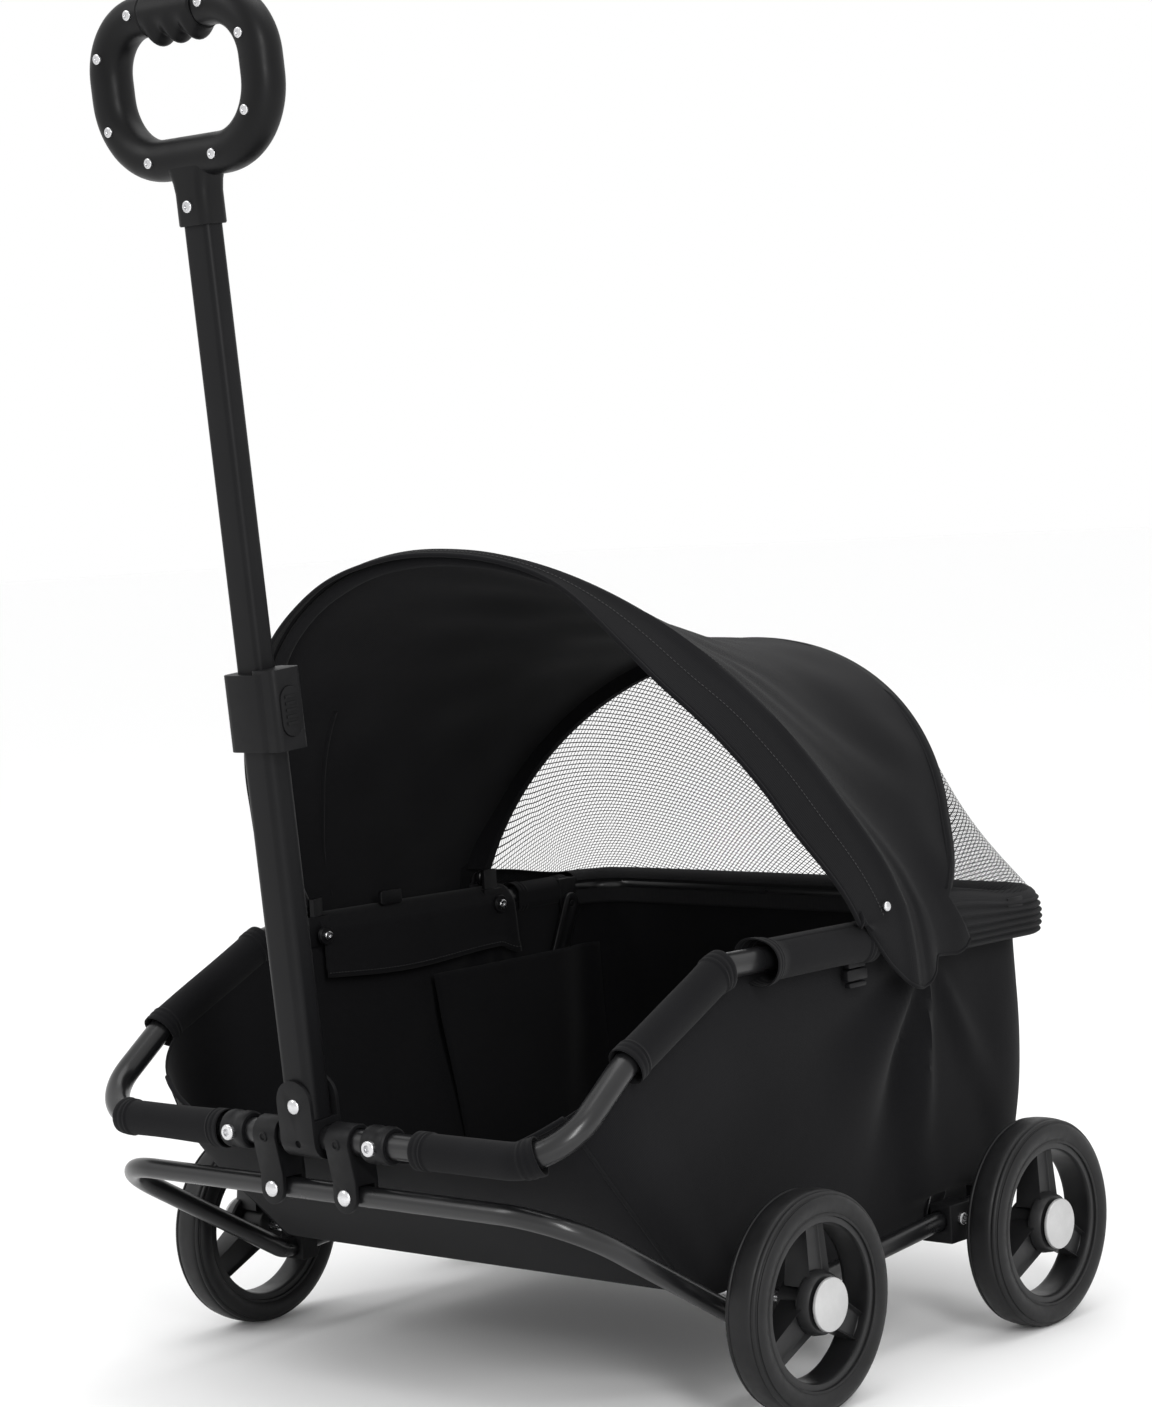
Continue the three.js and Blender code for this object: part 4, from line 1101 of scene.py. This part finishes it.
def build_rear_band():
    """Ribbed elastic webbing over the rim's rear bend, with the canopy's mesh sewn to its upper edge. On the
    left side only its outer face runs forward, so that the tube's short sleeve shows on the inside."""
    path = even(rim_outline(0, MID_BOW_Y - 3), 4)
    outer = [(12.2, 8 - 30 * k / 45, 1.0) for k in range(45, 0, -1)]
    over = [(11.6 * math.cos(a), 8 + 8 * math.sin(a), 0.0) for a in np.linspace(0, math.pi, 9)]
    inner = [(-11.5 + 0.3 * k, -15 + 1.9 * k, 0.0) for k in range(12, -1, -1)]
    corner = int(np.argmax((path[:, 0] < 0) & (path[:, 1] < 310)))
    webbing("rear_webbing", path[:corner + 1], outer + over + inner)
    webbing("rear_webbing_left", path[corner:], outer + over[:5])


def webbing(name, path, section):
    """Webbing along a path in plan; section has (outward, upward, share of ribbing) for each point across."""
    tangents, _, _ = frames_along(path)
    outward = np.stack([tangents[:, 1], -tangents[:, 0], np.zeros(len(path))], axis=1)
    outward *= np.sign((outward * (path - np.array([0, 150, 0]))).sum(axis=1))[:, None]
    wobble = ripple(61, 4, 0.004, 0.012)
    rows = []
    for p, n in zip(path, outward):
        z = rim_z(min(p[1], RIM_REAR[0]))
        lift = mesh_lift(p[1])
        row = []
        for out, up, ribbed in section:
            rib = 1.3 * math.sin(up * 2 * math.pi / 5.4)
            full = 2.5 * math.sin(math.pi * np.clip((8 - up) / 30, 0, 1))
            soft = 1.2 * float(wobble(p[0] + p[1], up))
            rise = lift * float(smooth((up + 10) / 26))
            row.append(p + n * (out + (rib + full + soft) * ribbed) + np.array([0, 0, z + up + rise]))
        rows.append(row)
    band = thick(grid(name, np.array(rows).transpose(1, 0, 2), WEBBING), 1.0, 0.0)
    put(band, "rim", "mesh_fabric")


def mesh_lift(y):
    """How much higher the webbing's upper edge stands beside the middle bow than at the rear."""
    return 12 * (1 - float(smooth((y - 200) / 110)))


def build_pad():
    foot = [(0.985, 0.0), (1.0, 4), (1.004, 9), (1.0, 14), (0.985, 17.6), (0.95, 19.4)]
    crown = [(0.86, 20.2), (0.7, 20.6), (0.45, 20.8), (0.2, 20.9), (0.02, 21)]
    outline = rounded_rectangle(436, 389, 26, 8)
    rows = []
    for scale, height in foot + crown:
        rows.append([(x * scale, y * scale + PAD_Y, PAD_Z + height) for x, y in outline])
    obj = flipped_outward(grid("floor_pad_cushion", rows, LOOKS["pad_fabric"], around=True, ends=True))
    obj.data.set_sharp_from_angle(angle=math.radians(60))
    put(obj, "base", "pad_fabric", "floor_pad")
    from_cad("floor_board", "board", 1.2, 2)


# ---- canopy -------------------------------------------------------------------------------------------
def arch(bow, turn, out=0.0):
    left = np.array([-FRAME_HALF, bow["left"], BOW_PIVOT_Z], float)
    right = np.array([FRAME_HALF, bow["right"], BOW_PIVOT_Z], float)
    middle = (left + right) / 2
    foot = right - middle
    apex = np.array([0, *bow["apex"]], float) - middle
    foot *= 1 + out / np.linalg.norm(foot)
    apex *= 1 + out / np.linalg.norm(apex)
    a = math.radians(turn)
    return middle + foot * math.sin(a) + apex * math.cos(a)


def build_bows():
    for node, bow, body in (("front_bow", FRONT_BOW, "front_bow_body"), ("mid_bow", MID_BOW, "rim")):
        path = np.array([arch(bow, t) for t in np.linspace(-90, 90, 91)])
        pieces = [tube("wire", path, BOW_R, LOOKS["tube_paint"], 20, up=(0, 1, 0))]
        for s in (-1, 1):
            foot = arch(bow, 90 * s)
            profile = [(-2.4, 2.8), (-2.4, 6.2), (-1.8, 6.8), (1.8, 6.8), (2.4, 6.2), (2.4, 2.8)]
            pieces.append(lathe("eye", profile, LOOKS["tube_paint"], foot, segments=32))
        put(joined(node + "_finished", pieces), body, "tube_paint", node)


def visor(turn):
    """How far the cloth reaches in front of the front bow."""
    if turn > 0:
        return 12 + 54 * float(smooth((turn - 16) / 34)) - 9 * float(smooth((turn - 72) / 18))
    return 12 + 4 * float(smooth((-turn - 45) / 30))


def foot_spread(turn):
    """How far the cloth stands out from a bow near its feet, with the turn's sign."""
    return math.copysign(7.5 * float(smooth((abs(turn) - 70) / 16)), turn)


def canopy_point(turn, v):
    """The stretched cloth: v runs 0 at the front bow to 1 at the middle bow, and below 0 over the visor."""
    a = arch(FRONT_BOW, turn, CANOPY_OUT - 3)
    b = arch(MID_BOW, turn, CANOPY_OUT)
    spread = np.array([foot_spread(turn), 0, 0])
    if v < 0:
        return a + spread + np.array([0, 1, 0.18]) * visor(turn) * v
    p = a + (b - a) * v + spread
    inward = np.array([0, 150, BOW_PIVOT_Z]) - p
    inward /= np.linalg.norm(inward)
    return p + inward * 21 * math.cos(math.radians(turn)) ** 0.7 * math.sin(math.pi * v) ** 0.9


LARGE_TAB = [(62, 380), (72, 366), (90, 339), (111, 316), (134, 298), (145, 291.5), (155, 289.5), (165, 292)]
SMALL_TAB = [(172, 300), (176, 313), (191, 312), (204, 311), (213, 314), (221, 323)]


def flap_bottom(y):
    """Lower edge of the cloth outside the right rail: a large rounded tab and a smaller one behind it."""
    return float(np.interp(y, *zip(*LARGE_TAB, *SMALL_TAB)))


def left_bottom(y):
    return rim_z(y) - 7


def outward_sign(normal, rows):
    away = rows - np.array([0, 120, BOW_PIVOT_Z - 60])
    return np.sign((normal * away).sum(axis=2))


def hanging(foot, bottom, count, fan, rough):
    """Points of the cloth below a foot of the canopy, outside the rail, down to its lower edge."""
    column = []
    spread = fan * (foot[1] - 74)
    low = bottom(foot[1] + spread)
    for j in range(1, count + 1):
        w = j / count
        y = foot[1] + spread * w
        z = foot[2] + (low - foot[2]) * w
        x = abs(foot[0]) + 2.2 * math.sin(math.pi * w) ** 0.8 + 0.8 * float(rough(y, z)) * w
        column.append((math.copysign(x, foot[0]), y, z))
    return column


def build_canopy():
    turns = np.linspace(-89.9, 89.9, 181)
    shares = np.concatenate([np.linspace(-1, -0.04, VISOR_ROWS), np.linspace(0, 1, 60)])
    wide = ripple(41, 5, 0.002, 0.006)
    fine = ripple(42, 6, 0.005, 0.014)
    rows = np.array([[canopy_point(t, v) for t in turns] for v in shares])
    normal = np.cross(np.gradient(rows, axis=1), np.gradient(rows, axis=0))
    normal /= np.maximum(np.linalg.norm(normal, axis=2), 1e-9)[..., None]
    arc = np.cumsum(np.linalg.norm(np.diff(rows, axis=1, prepend=rows[:, :1]), axis=2), axis=1)
    away = np.cumsum(np.linalg.norm(np.diff(rows, axis=0, prepend=rows[:1]), axis=2), axis=0)
    calm = np.where(shares < 0, 0.35, np.sin(math.pi * np.clip(shares, 0, 1)) ** 0.6)[:, None]
    wrinkle = 2.6 * wide(arc, away) + 2.5 * fine(arc, away)
    drag = 2.9 * np.sin((arc * 0.75 + away * 0.9) / 15.0 + 2.2 * wide(away, arc))
    patches = np.clip(wide(arc * 0.7, away * 0.7) + 0.35, 0, 1)
    pull = drag * (0.35 + 0.65 * smooth((arc - 330) / 200)) * patches
    ridge = 1.8 * np.exp(-((away - away[VISOR_ROWS]) / 7.0) ** 2)
    rows = rows + normal * ((wrinkle + pull) * calm + outward_sign(normal, rows) * ridge)[..., None]
    right = np.array([hanging(row[-1], flap_bottom, 22, 0.22, fine) for row in rows])
    left = np.array([hanging(row[0], left_bottom, 8, 0.0, fine) for row in rows])
    rows = np.concatenate([left[:, ::-1], rows, right], axis=1)
    obj = canopy_cloth(thick(grid("canopy_cloth", rows, LOOKS["fabric"]), 1.0, 0.0))
    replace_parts(obj, "canopy_panel")
    build_canopy_hems(rows, normal)


def canopy_cloth(obj):
    """Canopy cloth, with its transform put into its mesh."""
    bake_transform(obj)
    return obj


def build_left_tab():
    """The small tab that closes the canopy's rear corner over the middle bow's left foot."""
    tab = outline_solid("left_foot_tab", rounded_rectangle(30, 44, 9), 0, -0.8, 0.8, LOOKS["fabric"])
    put(bevelled(moved(tab, (-264.2, MID_BOW_Y + 3, 357)), 0.6, 2), "rim", "fabric")


def build_canopy_hems(rows, normal):
    """Piped edges, rows of stitching, the cloth pocket round the front bow and a seam inside the left foot.
    Returns the pieces that go with the canopy's cloth."""
    piping = tube("canopy_front_piping", even(rows[0], 4), 1.9, LOOKS["fabric"], 10, up=(0, 1, 0))
    pieces = [canopy_cloth(piping)]
    for name, index in (("canopy_hem_stitches", 6), ("canopy_bow_stitches", 14)):
        line = rows[index][8:-22]
        lift = normal[index] * outward_sign(normal, rows[:, 8:-22])[index][:, None]
        pieces.append(canopy_cloth(stitches(name, line + lift * 0.8)))
    bow_path = np.array([arch(FRONT_BOW, t) for t in np.linspace(-84, 84, 120)])
    rough = ripple(43, 4, 0.006, 0.02)
    pocket = tube("front_bow_pocket", even(bow_path, 4), 5.4, LOOKS["fabric"], 24, ends=False, up=(0, 1, 0),
                  shape=lambda a, length: 1 + 0.08 * float(rough(length, a * 6)))
    put(thick(pocket, 0.8), "front_bow_body", "fabric")
    pieces.append(canopy_cloth(tube("canopy_flap_piping", even(rows[:, -1], 4), 1.6, LOOKS["fabric"], 10)))
    seam = even([canopy_point(t, 0.2) for t in np.linspace(-89, -52, 30)], 4)
    pieces.append(canopy_cloth(tube("canopy_foot_seam", seam, 2.2, LOOKS["fabric"], 10, up=(0, 1, 0))))
    stud = moved(rivet_head("flap_stud", (0, 0, 0), 4.2, None, depth=4), (265.4, 107, 361), 90, "Z")
    pieces.append(canopy_cloth(stud))
    return pieces


def rear_edge(turn):
    """Where the mesh meets the webbing, at the same share of the way round as a turn of the middle bow."""
    p = stretch(rim_outline(9, MID_BOW_Y), 0.5 - turn / 180)
    lift = mesh_lift(p[1]) if p[0] > 0 else 0
    cover = 16 * float(smooth((-p[0] - 236) / 6)) * float(smooth((312 - p[1]) / 12))
    return np.array([p[0], p[1], rim_z(min(p[1], RIM_REAR[0])) + 12 + lift - cover])


def build_mid_bow_pocket():
    """The doubled cloth that wraps the middle bow and closes the canopy's rear edge against it."""
    outside = [(10.6, -7), (10.4, 0), (9.6, 4.6), (5, 5.2), (0, 5.4), (-4, 4.4)]
    inside = [(-5.2, 0), (-4, -4.4), (0, -5.6), (5, -6.4), (9.8, -8)]
    rows = []
    for out, back in outside + inside:
        ring = []
        for t in np.linspace(-88, 88, 150):
            spread = foot_spread(t) * 6.5 / 7.5 * max(0.0, out / 10)
            ring.append(arch(MID_BOW, t, out) + np.array([spread, back, 0]))
        rows.append(ring)
    rows.append(rows[0])
    pocket = thick(flipped_outward(grid("mid_bow_pocket", rows, LOOKS["fabric"])), 0.8)
    put(pocket, "rim", "fabric")


def build_mesh_panel():
    rows = []
    for v in np.linspace(0, 1, 30):
        row = []
        for t in np.linspace(-89.9, 89.9, 121):
            a = arch(MID_BOW, t, CANOPY_OUT)
            p = a + (rear_edge(t) - a) * v
            hollow_in = 10 * math.sin(math.pi * v) * math.cos(math.radians(t)) ** 0.6
            inward = np.array([0, 200, 300.0]) - p
            row.append(p + inward / np.linalg.norm(inward) * hollow_in)
        rows.append(row)
    obj = grid("canopy_rear_mesh", rows, LOOKS["mesh_fabric"], local=True)
    put(obj, "rim", "mesh_fabric", "canopy_mesh")


# ---- handle pole ----------------------------------------------------------------------------------------
POLE_PLACE = Matrix.Translation(Vector((0, *PIVOT)) * MM) @ Matrix.Rotation(POLE_LEAN, 4, "X")


def on_pole(obj, body, slot, *nodes):
    obj.data.transform(POLE_PLACE)
    return put(obj, body, slot, *nodes)


def hollow(name, size, wall, radius, low, high, look):
    """A rectangular tube with round corners, open at both ends."""
    outer = rounded_rectangle(*size, radius, 10)
    inner = rounded_rectangle(size[0] - 2 * wall, size[1] - 2 * wall, radius - wall, 10)
    outside = [[(x, y, z) for x, y in outer] for z in (low, low + 0.4, high - 0.4, high)]
    inside = [[(x, y, z) for x, y in inner] for z in (high, low)]
    return flipped_outward(grid(name, outside + inside + outside[:1], look, around=True), COINCIDENT)


def handle_path(from_x, to_x):
    half = HANDLE_WIDTH / 2
    low = HANDLE_MIDDLE - HANDLE_HEIGHT / 2
    high = HANDLE_MIDDLE + HANDLE_HEIGHT / 2
    return bent([
        ((from_x, 0, high), 0),
        ((-half, 0, high), 42),
        ((-half, 0, low), 50),
        ((half, 0, low), 50),
        ((half, 0, high), 42),
        ((to_x, 0, high), 0),
    ], 4)


def build_handle():
    low = HANDLE_MIDDLE - HANDLE_HEIGHT / 2
    high = HANDLE_MIDDLE + HANDLE_HEIGHT / 2

    def section(angle, length):
        return 1 - 0.035 * math.cos(2 * angle) ** 2

    path = even(handle_path(-29.3, 29.3), 3)
    loop = tube("loop", path, HANDLE_R, LOOKS["grip"], 48, shape=section, up=(0, 1, 0))
    neck_rows = []
    for z, width, depth, radius in ((NECK_BOTTOM, 32, 25, 8), (NECK_BOTTOM + 1, 33, 26, 8), (712, 33, 26, 8),
                                    (720, 36, 27, 9), (728, 44, 28, 11), (736, 60, 28, 13)):
        neck_rows.append([(x, y, z) for x, y in rounded_rectangle(width, depth, radius, 8)])
    neck = flipped_outward(grid("neck", neck_rows, LOOKS["grip"], around=True, ends=True))
    on_pole(joined("handle_loop_finished", [loop, neck]), "mast", "grip", "handle_loop")
    on_pole(grip_mesh(high), "mast", "grip", "handle_grip")
    for level, x, z in (("top", 38, high + 1), ("upper", 76, high - 26), ("lower", 73, low + 26),
                        ("bottom", 34, low - 1)):
        for side, s in (("left", -1), ("right", 1)):
            handle_screw(f"handle_screw_{level}_{side}", 3.9, 1.5, (s * x, 0.6 - HANDLE_R, z))
    screw = handle_screw("neck_screw_finished", 4.6, 1.6, (0, -13.4, NECK_BOTTOM + 14))
    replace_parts(screw, "neck_screw")


def handle_screw(name, radius, height, place):
    """A screw in the handle's front face, at a place on the pole."""
    return moved(socket_screw(name, (0, 0, 0), (0, -1, 0), radius, "mast", height), place, base=POLE_PLACE)


def grip_mesh(high):
    """The soft insert at the top of the loop: three finger waves below and a seam ring at each end."""
    half, sides = 29, 48
    rows = []
    for x in np.linspace(-half, half, 75):
        wave = 0.5 - 0.5 * math.cos((x + half) / half * 3 * math.pi)
        edge = half - abs(x)
        ring = HANDLE_R + 0.7 - 1.1 * math.exp(-((edge - 1.2) / 0.8) ** 2)
        row = []
        for k in range(sides):
            a = 2 * math.pi * k / sides
            below = max(0.0, -math.sin(a))
            r = ring + below ** 2 * (6.8 * wave * float(smooth(edge / 6)) + 0.6)
            row.append((x, r * math.cos(a) * (1 - 0.05 * below), high + r * math.sin(a)))
        rows.append(row)
    return flipped_outward(grid("handle_grip_finished", rows, LOOKS["grip"], around=True, ends=True))


def build_pole():
    lower = hollow("lower_tube_finished", LOWER_TUBE, 1.8, 8, 16, 350, POLE)
    on_pole(lower, "pole", "tube_paint", "lower_tube")
    upper = hollow("upper_tube_finished", UPPER_TUBE, 1.5, 5.5, 300, 715, POLE)
    on_pole(upper, "mast", "tube_paint", "upper_tube")
    from_cad("clevis", "plastic", 1.0, 3)
    from_cad("lock_collar", "plastic", 1.6, 3)
    from_cad("lock_button", "plastic", 0.5, 2)
    rivet = rivet_head("clevis_rivet_finished", (0, 0, 0), 6, "pole", "clevis_rivet")
    moved(rivet, (0, -15.4, 27), base=POLE_PLACE)
    build_handle()


# ---- the set ------------------------------------------------------------------------------------------
def build_stage():
    """A wide pale floor under a white sky, with painted shade: its colour is darker near the stroller and
    grows a little lighter away from it.
    """
    mesh = bpy.data.meshes.new("floor")
    size = 40.0
    corners = [(x * size, y * size, 0) for x, y in ((-1, -1), (1, -1), (1, 1), (-1, 1))]
    mesh.from_pydata(corners, [], [(0, 1, 2, 3)])
    floor = bpy.data.objects.new("floor", mesh)
    bpy.context.scene.collection.objects.link(floor)
    look = Look("floor", (0.9, 0.9, 0.9), 0.8, specular=0.2)
    # painted shade: the floor's base colour darkens towards the stroller and lightens with distance from it,
    # plus a little random grain
    distance = look.node("ShaderNodeVectorMath", operation="LENGTH")
    look.link(look.coordinates.outputs["Object"], distance.inputs[0])
    grain = look.math("MULTIPLY", look.noise(3), 0.04)
    away = look.math("MULTIPLY", distance.outputs["Value"], 0.36)
    look.tint(look.math("ADD", away, grain), 0.96, 1.1, 0.3, 1.0)
    mesh.materials.append(look.material)
    world = bpy.data.worlds.new("studio")
    world.use_nodes = True
    world.node_tree.nodes["Background"].inputs["Color"].default_value = (1, 1, 1, 1)
    world.node_tree.nodes["Background"].inputs["Strength"].default_value = 1.0
    bpy.context.scene.world = world


def area_light(name, place, target, size, power):
    data = bpy.data.lights.new(name, "AREA")
    data.shape = "RECTANGLE"
    data.size, data.size_y = size
    data.energy = power
    light = bpy.data.objects.new(name, data)
    bpy.context.scene.collection.objects.link(light)
    light.location = place
    aim = Vector(target) - Vector(place)
    light.rotation_euler = aim.to_track_quat("-Z", "Y").to_euler()


def build_lights():
    area_light("key", (-1.6, -2.4, 2.6), (0, 0, 0.4), (1.0, 1.6), 26)
    area_light("side", (2.4, -1.5, 1.5), (0, 0.1, 0.3), (0.5, 1.6), 44)
    area_light("top", (0.2, 0.4, 3.0), (0, 0, 0.3), (2.0, 2.0), 24)


def build_camera():
    """The photograph's viewing place, direction and lens."""
    azimuth, elevation, roll = (math.radians(a) for a in (41.16, 3.3, -3.0))
    place = Vector((1829.97, -2042.55, 686.87)) * MM
    forward = Vector((-math.sin(azimuth) * math.cos(elevation), math.cos(azimuth) * math.cos(elevation),
                      -math.sin(elevation)))
    right = Vector((math.cos(azimuth), math.sin(azimuth), 0))
    up = right.cross(forward)
    turned_right = right * math.cos(roll) + up * math.sin(roll)
    turned_up = -right * math.sin(roll) + up * math.cos(roll)
    rotation = Matrix((turned_right, turned_up, -forward)).transposed()
    data = bpy.data.cameras.new("camera")
    data.lens = 86.27
    data.sensor_width = 36
    data.sensor_fit = "AUTO"
    camera = bpy.data.objects.new("camera", data)
    bpy.context.scene.collection.objects.link(camera)
    camera.matrix_world = Matrix.Translation(place) @ rotation.to_4x4()
    bpy.context.scene.camera = camera
    bpy.context.scene.view_settings.view_transform = "Standard"


build_camera()
build_stage()
build_lights()
build_base()
build_wheels()
build_rim()
build_sleeves()
build_basket()
build_inner_bands()
build_small_clips()
build_rear_band()
build_pad()
build_bows()
build_canopy()
build_left_tab()
build_mid_bow_pocket()
build_mesh_panel()
build_pole()
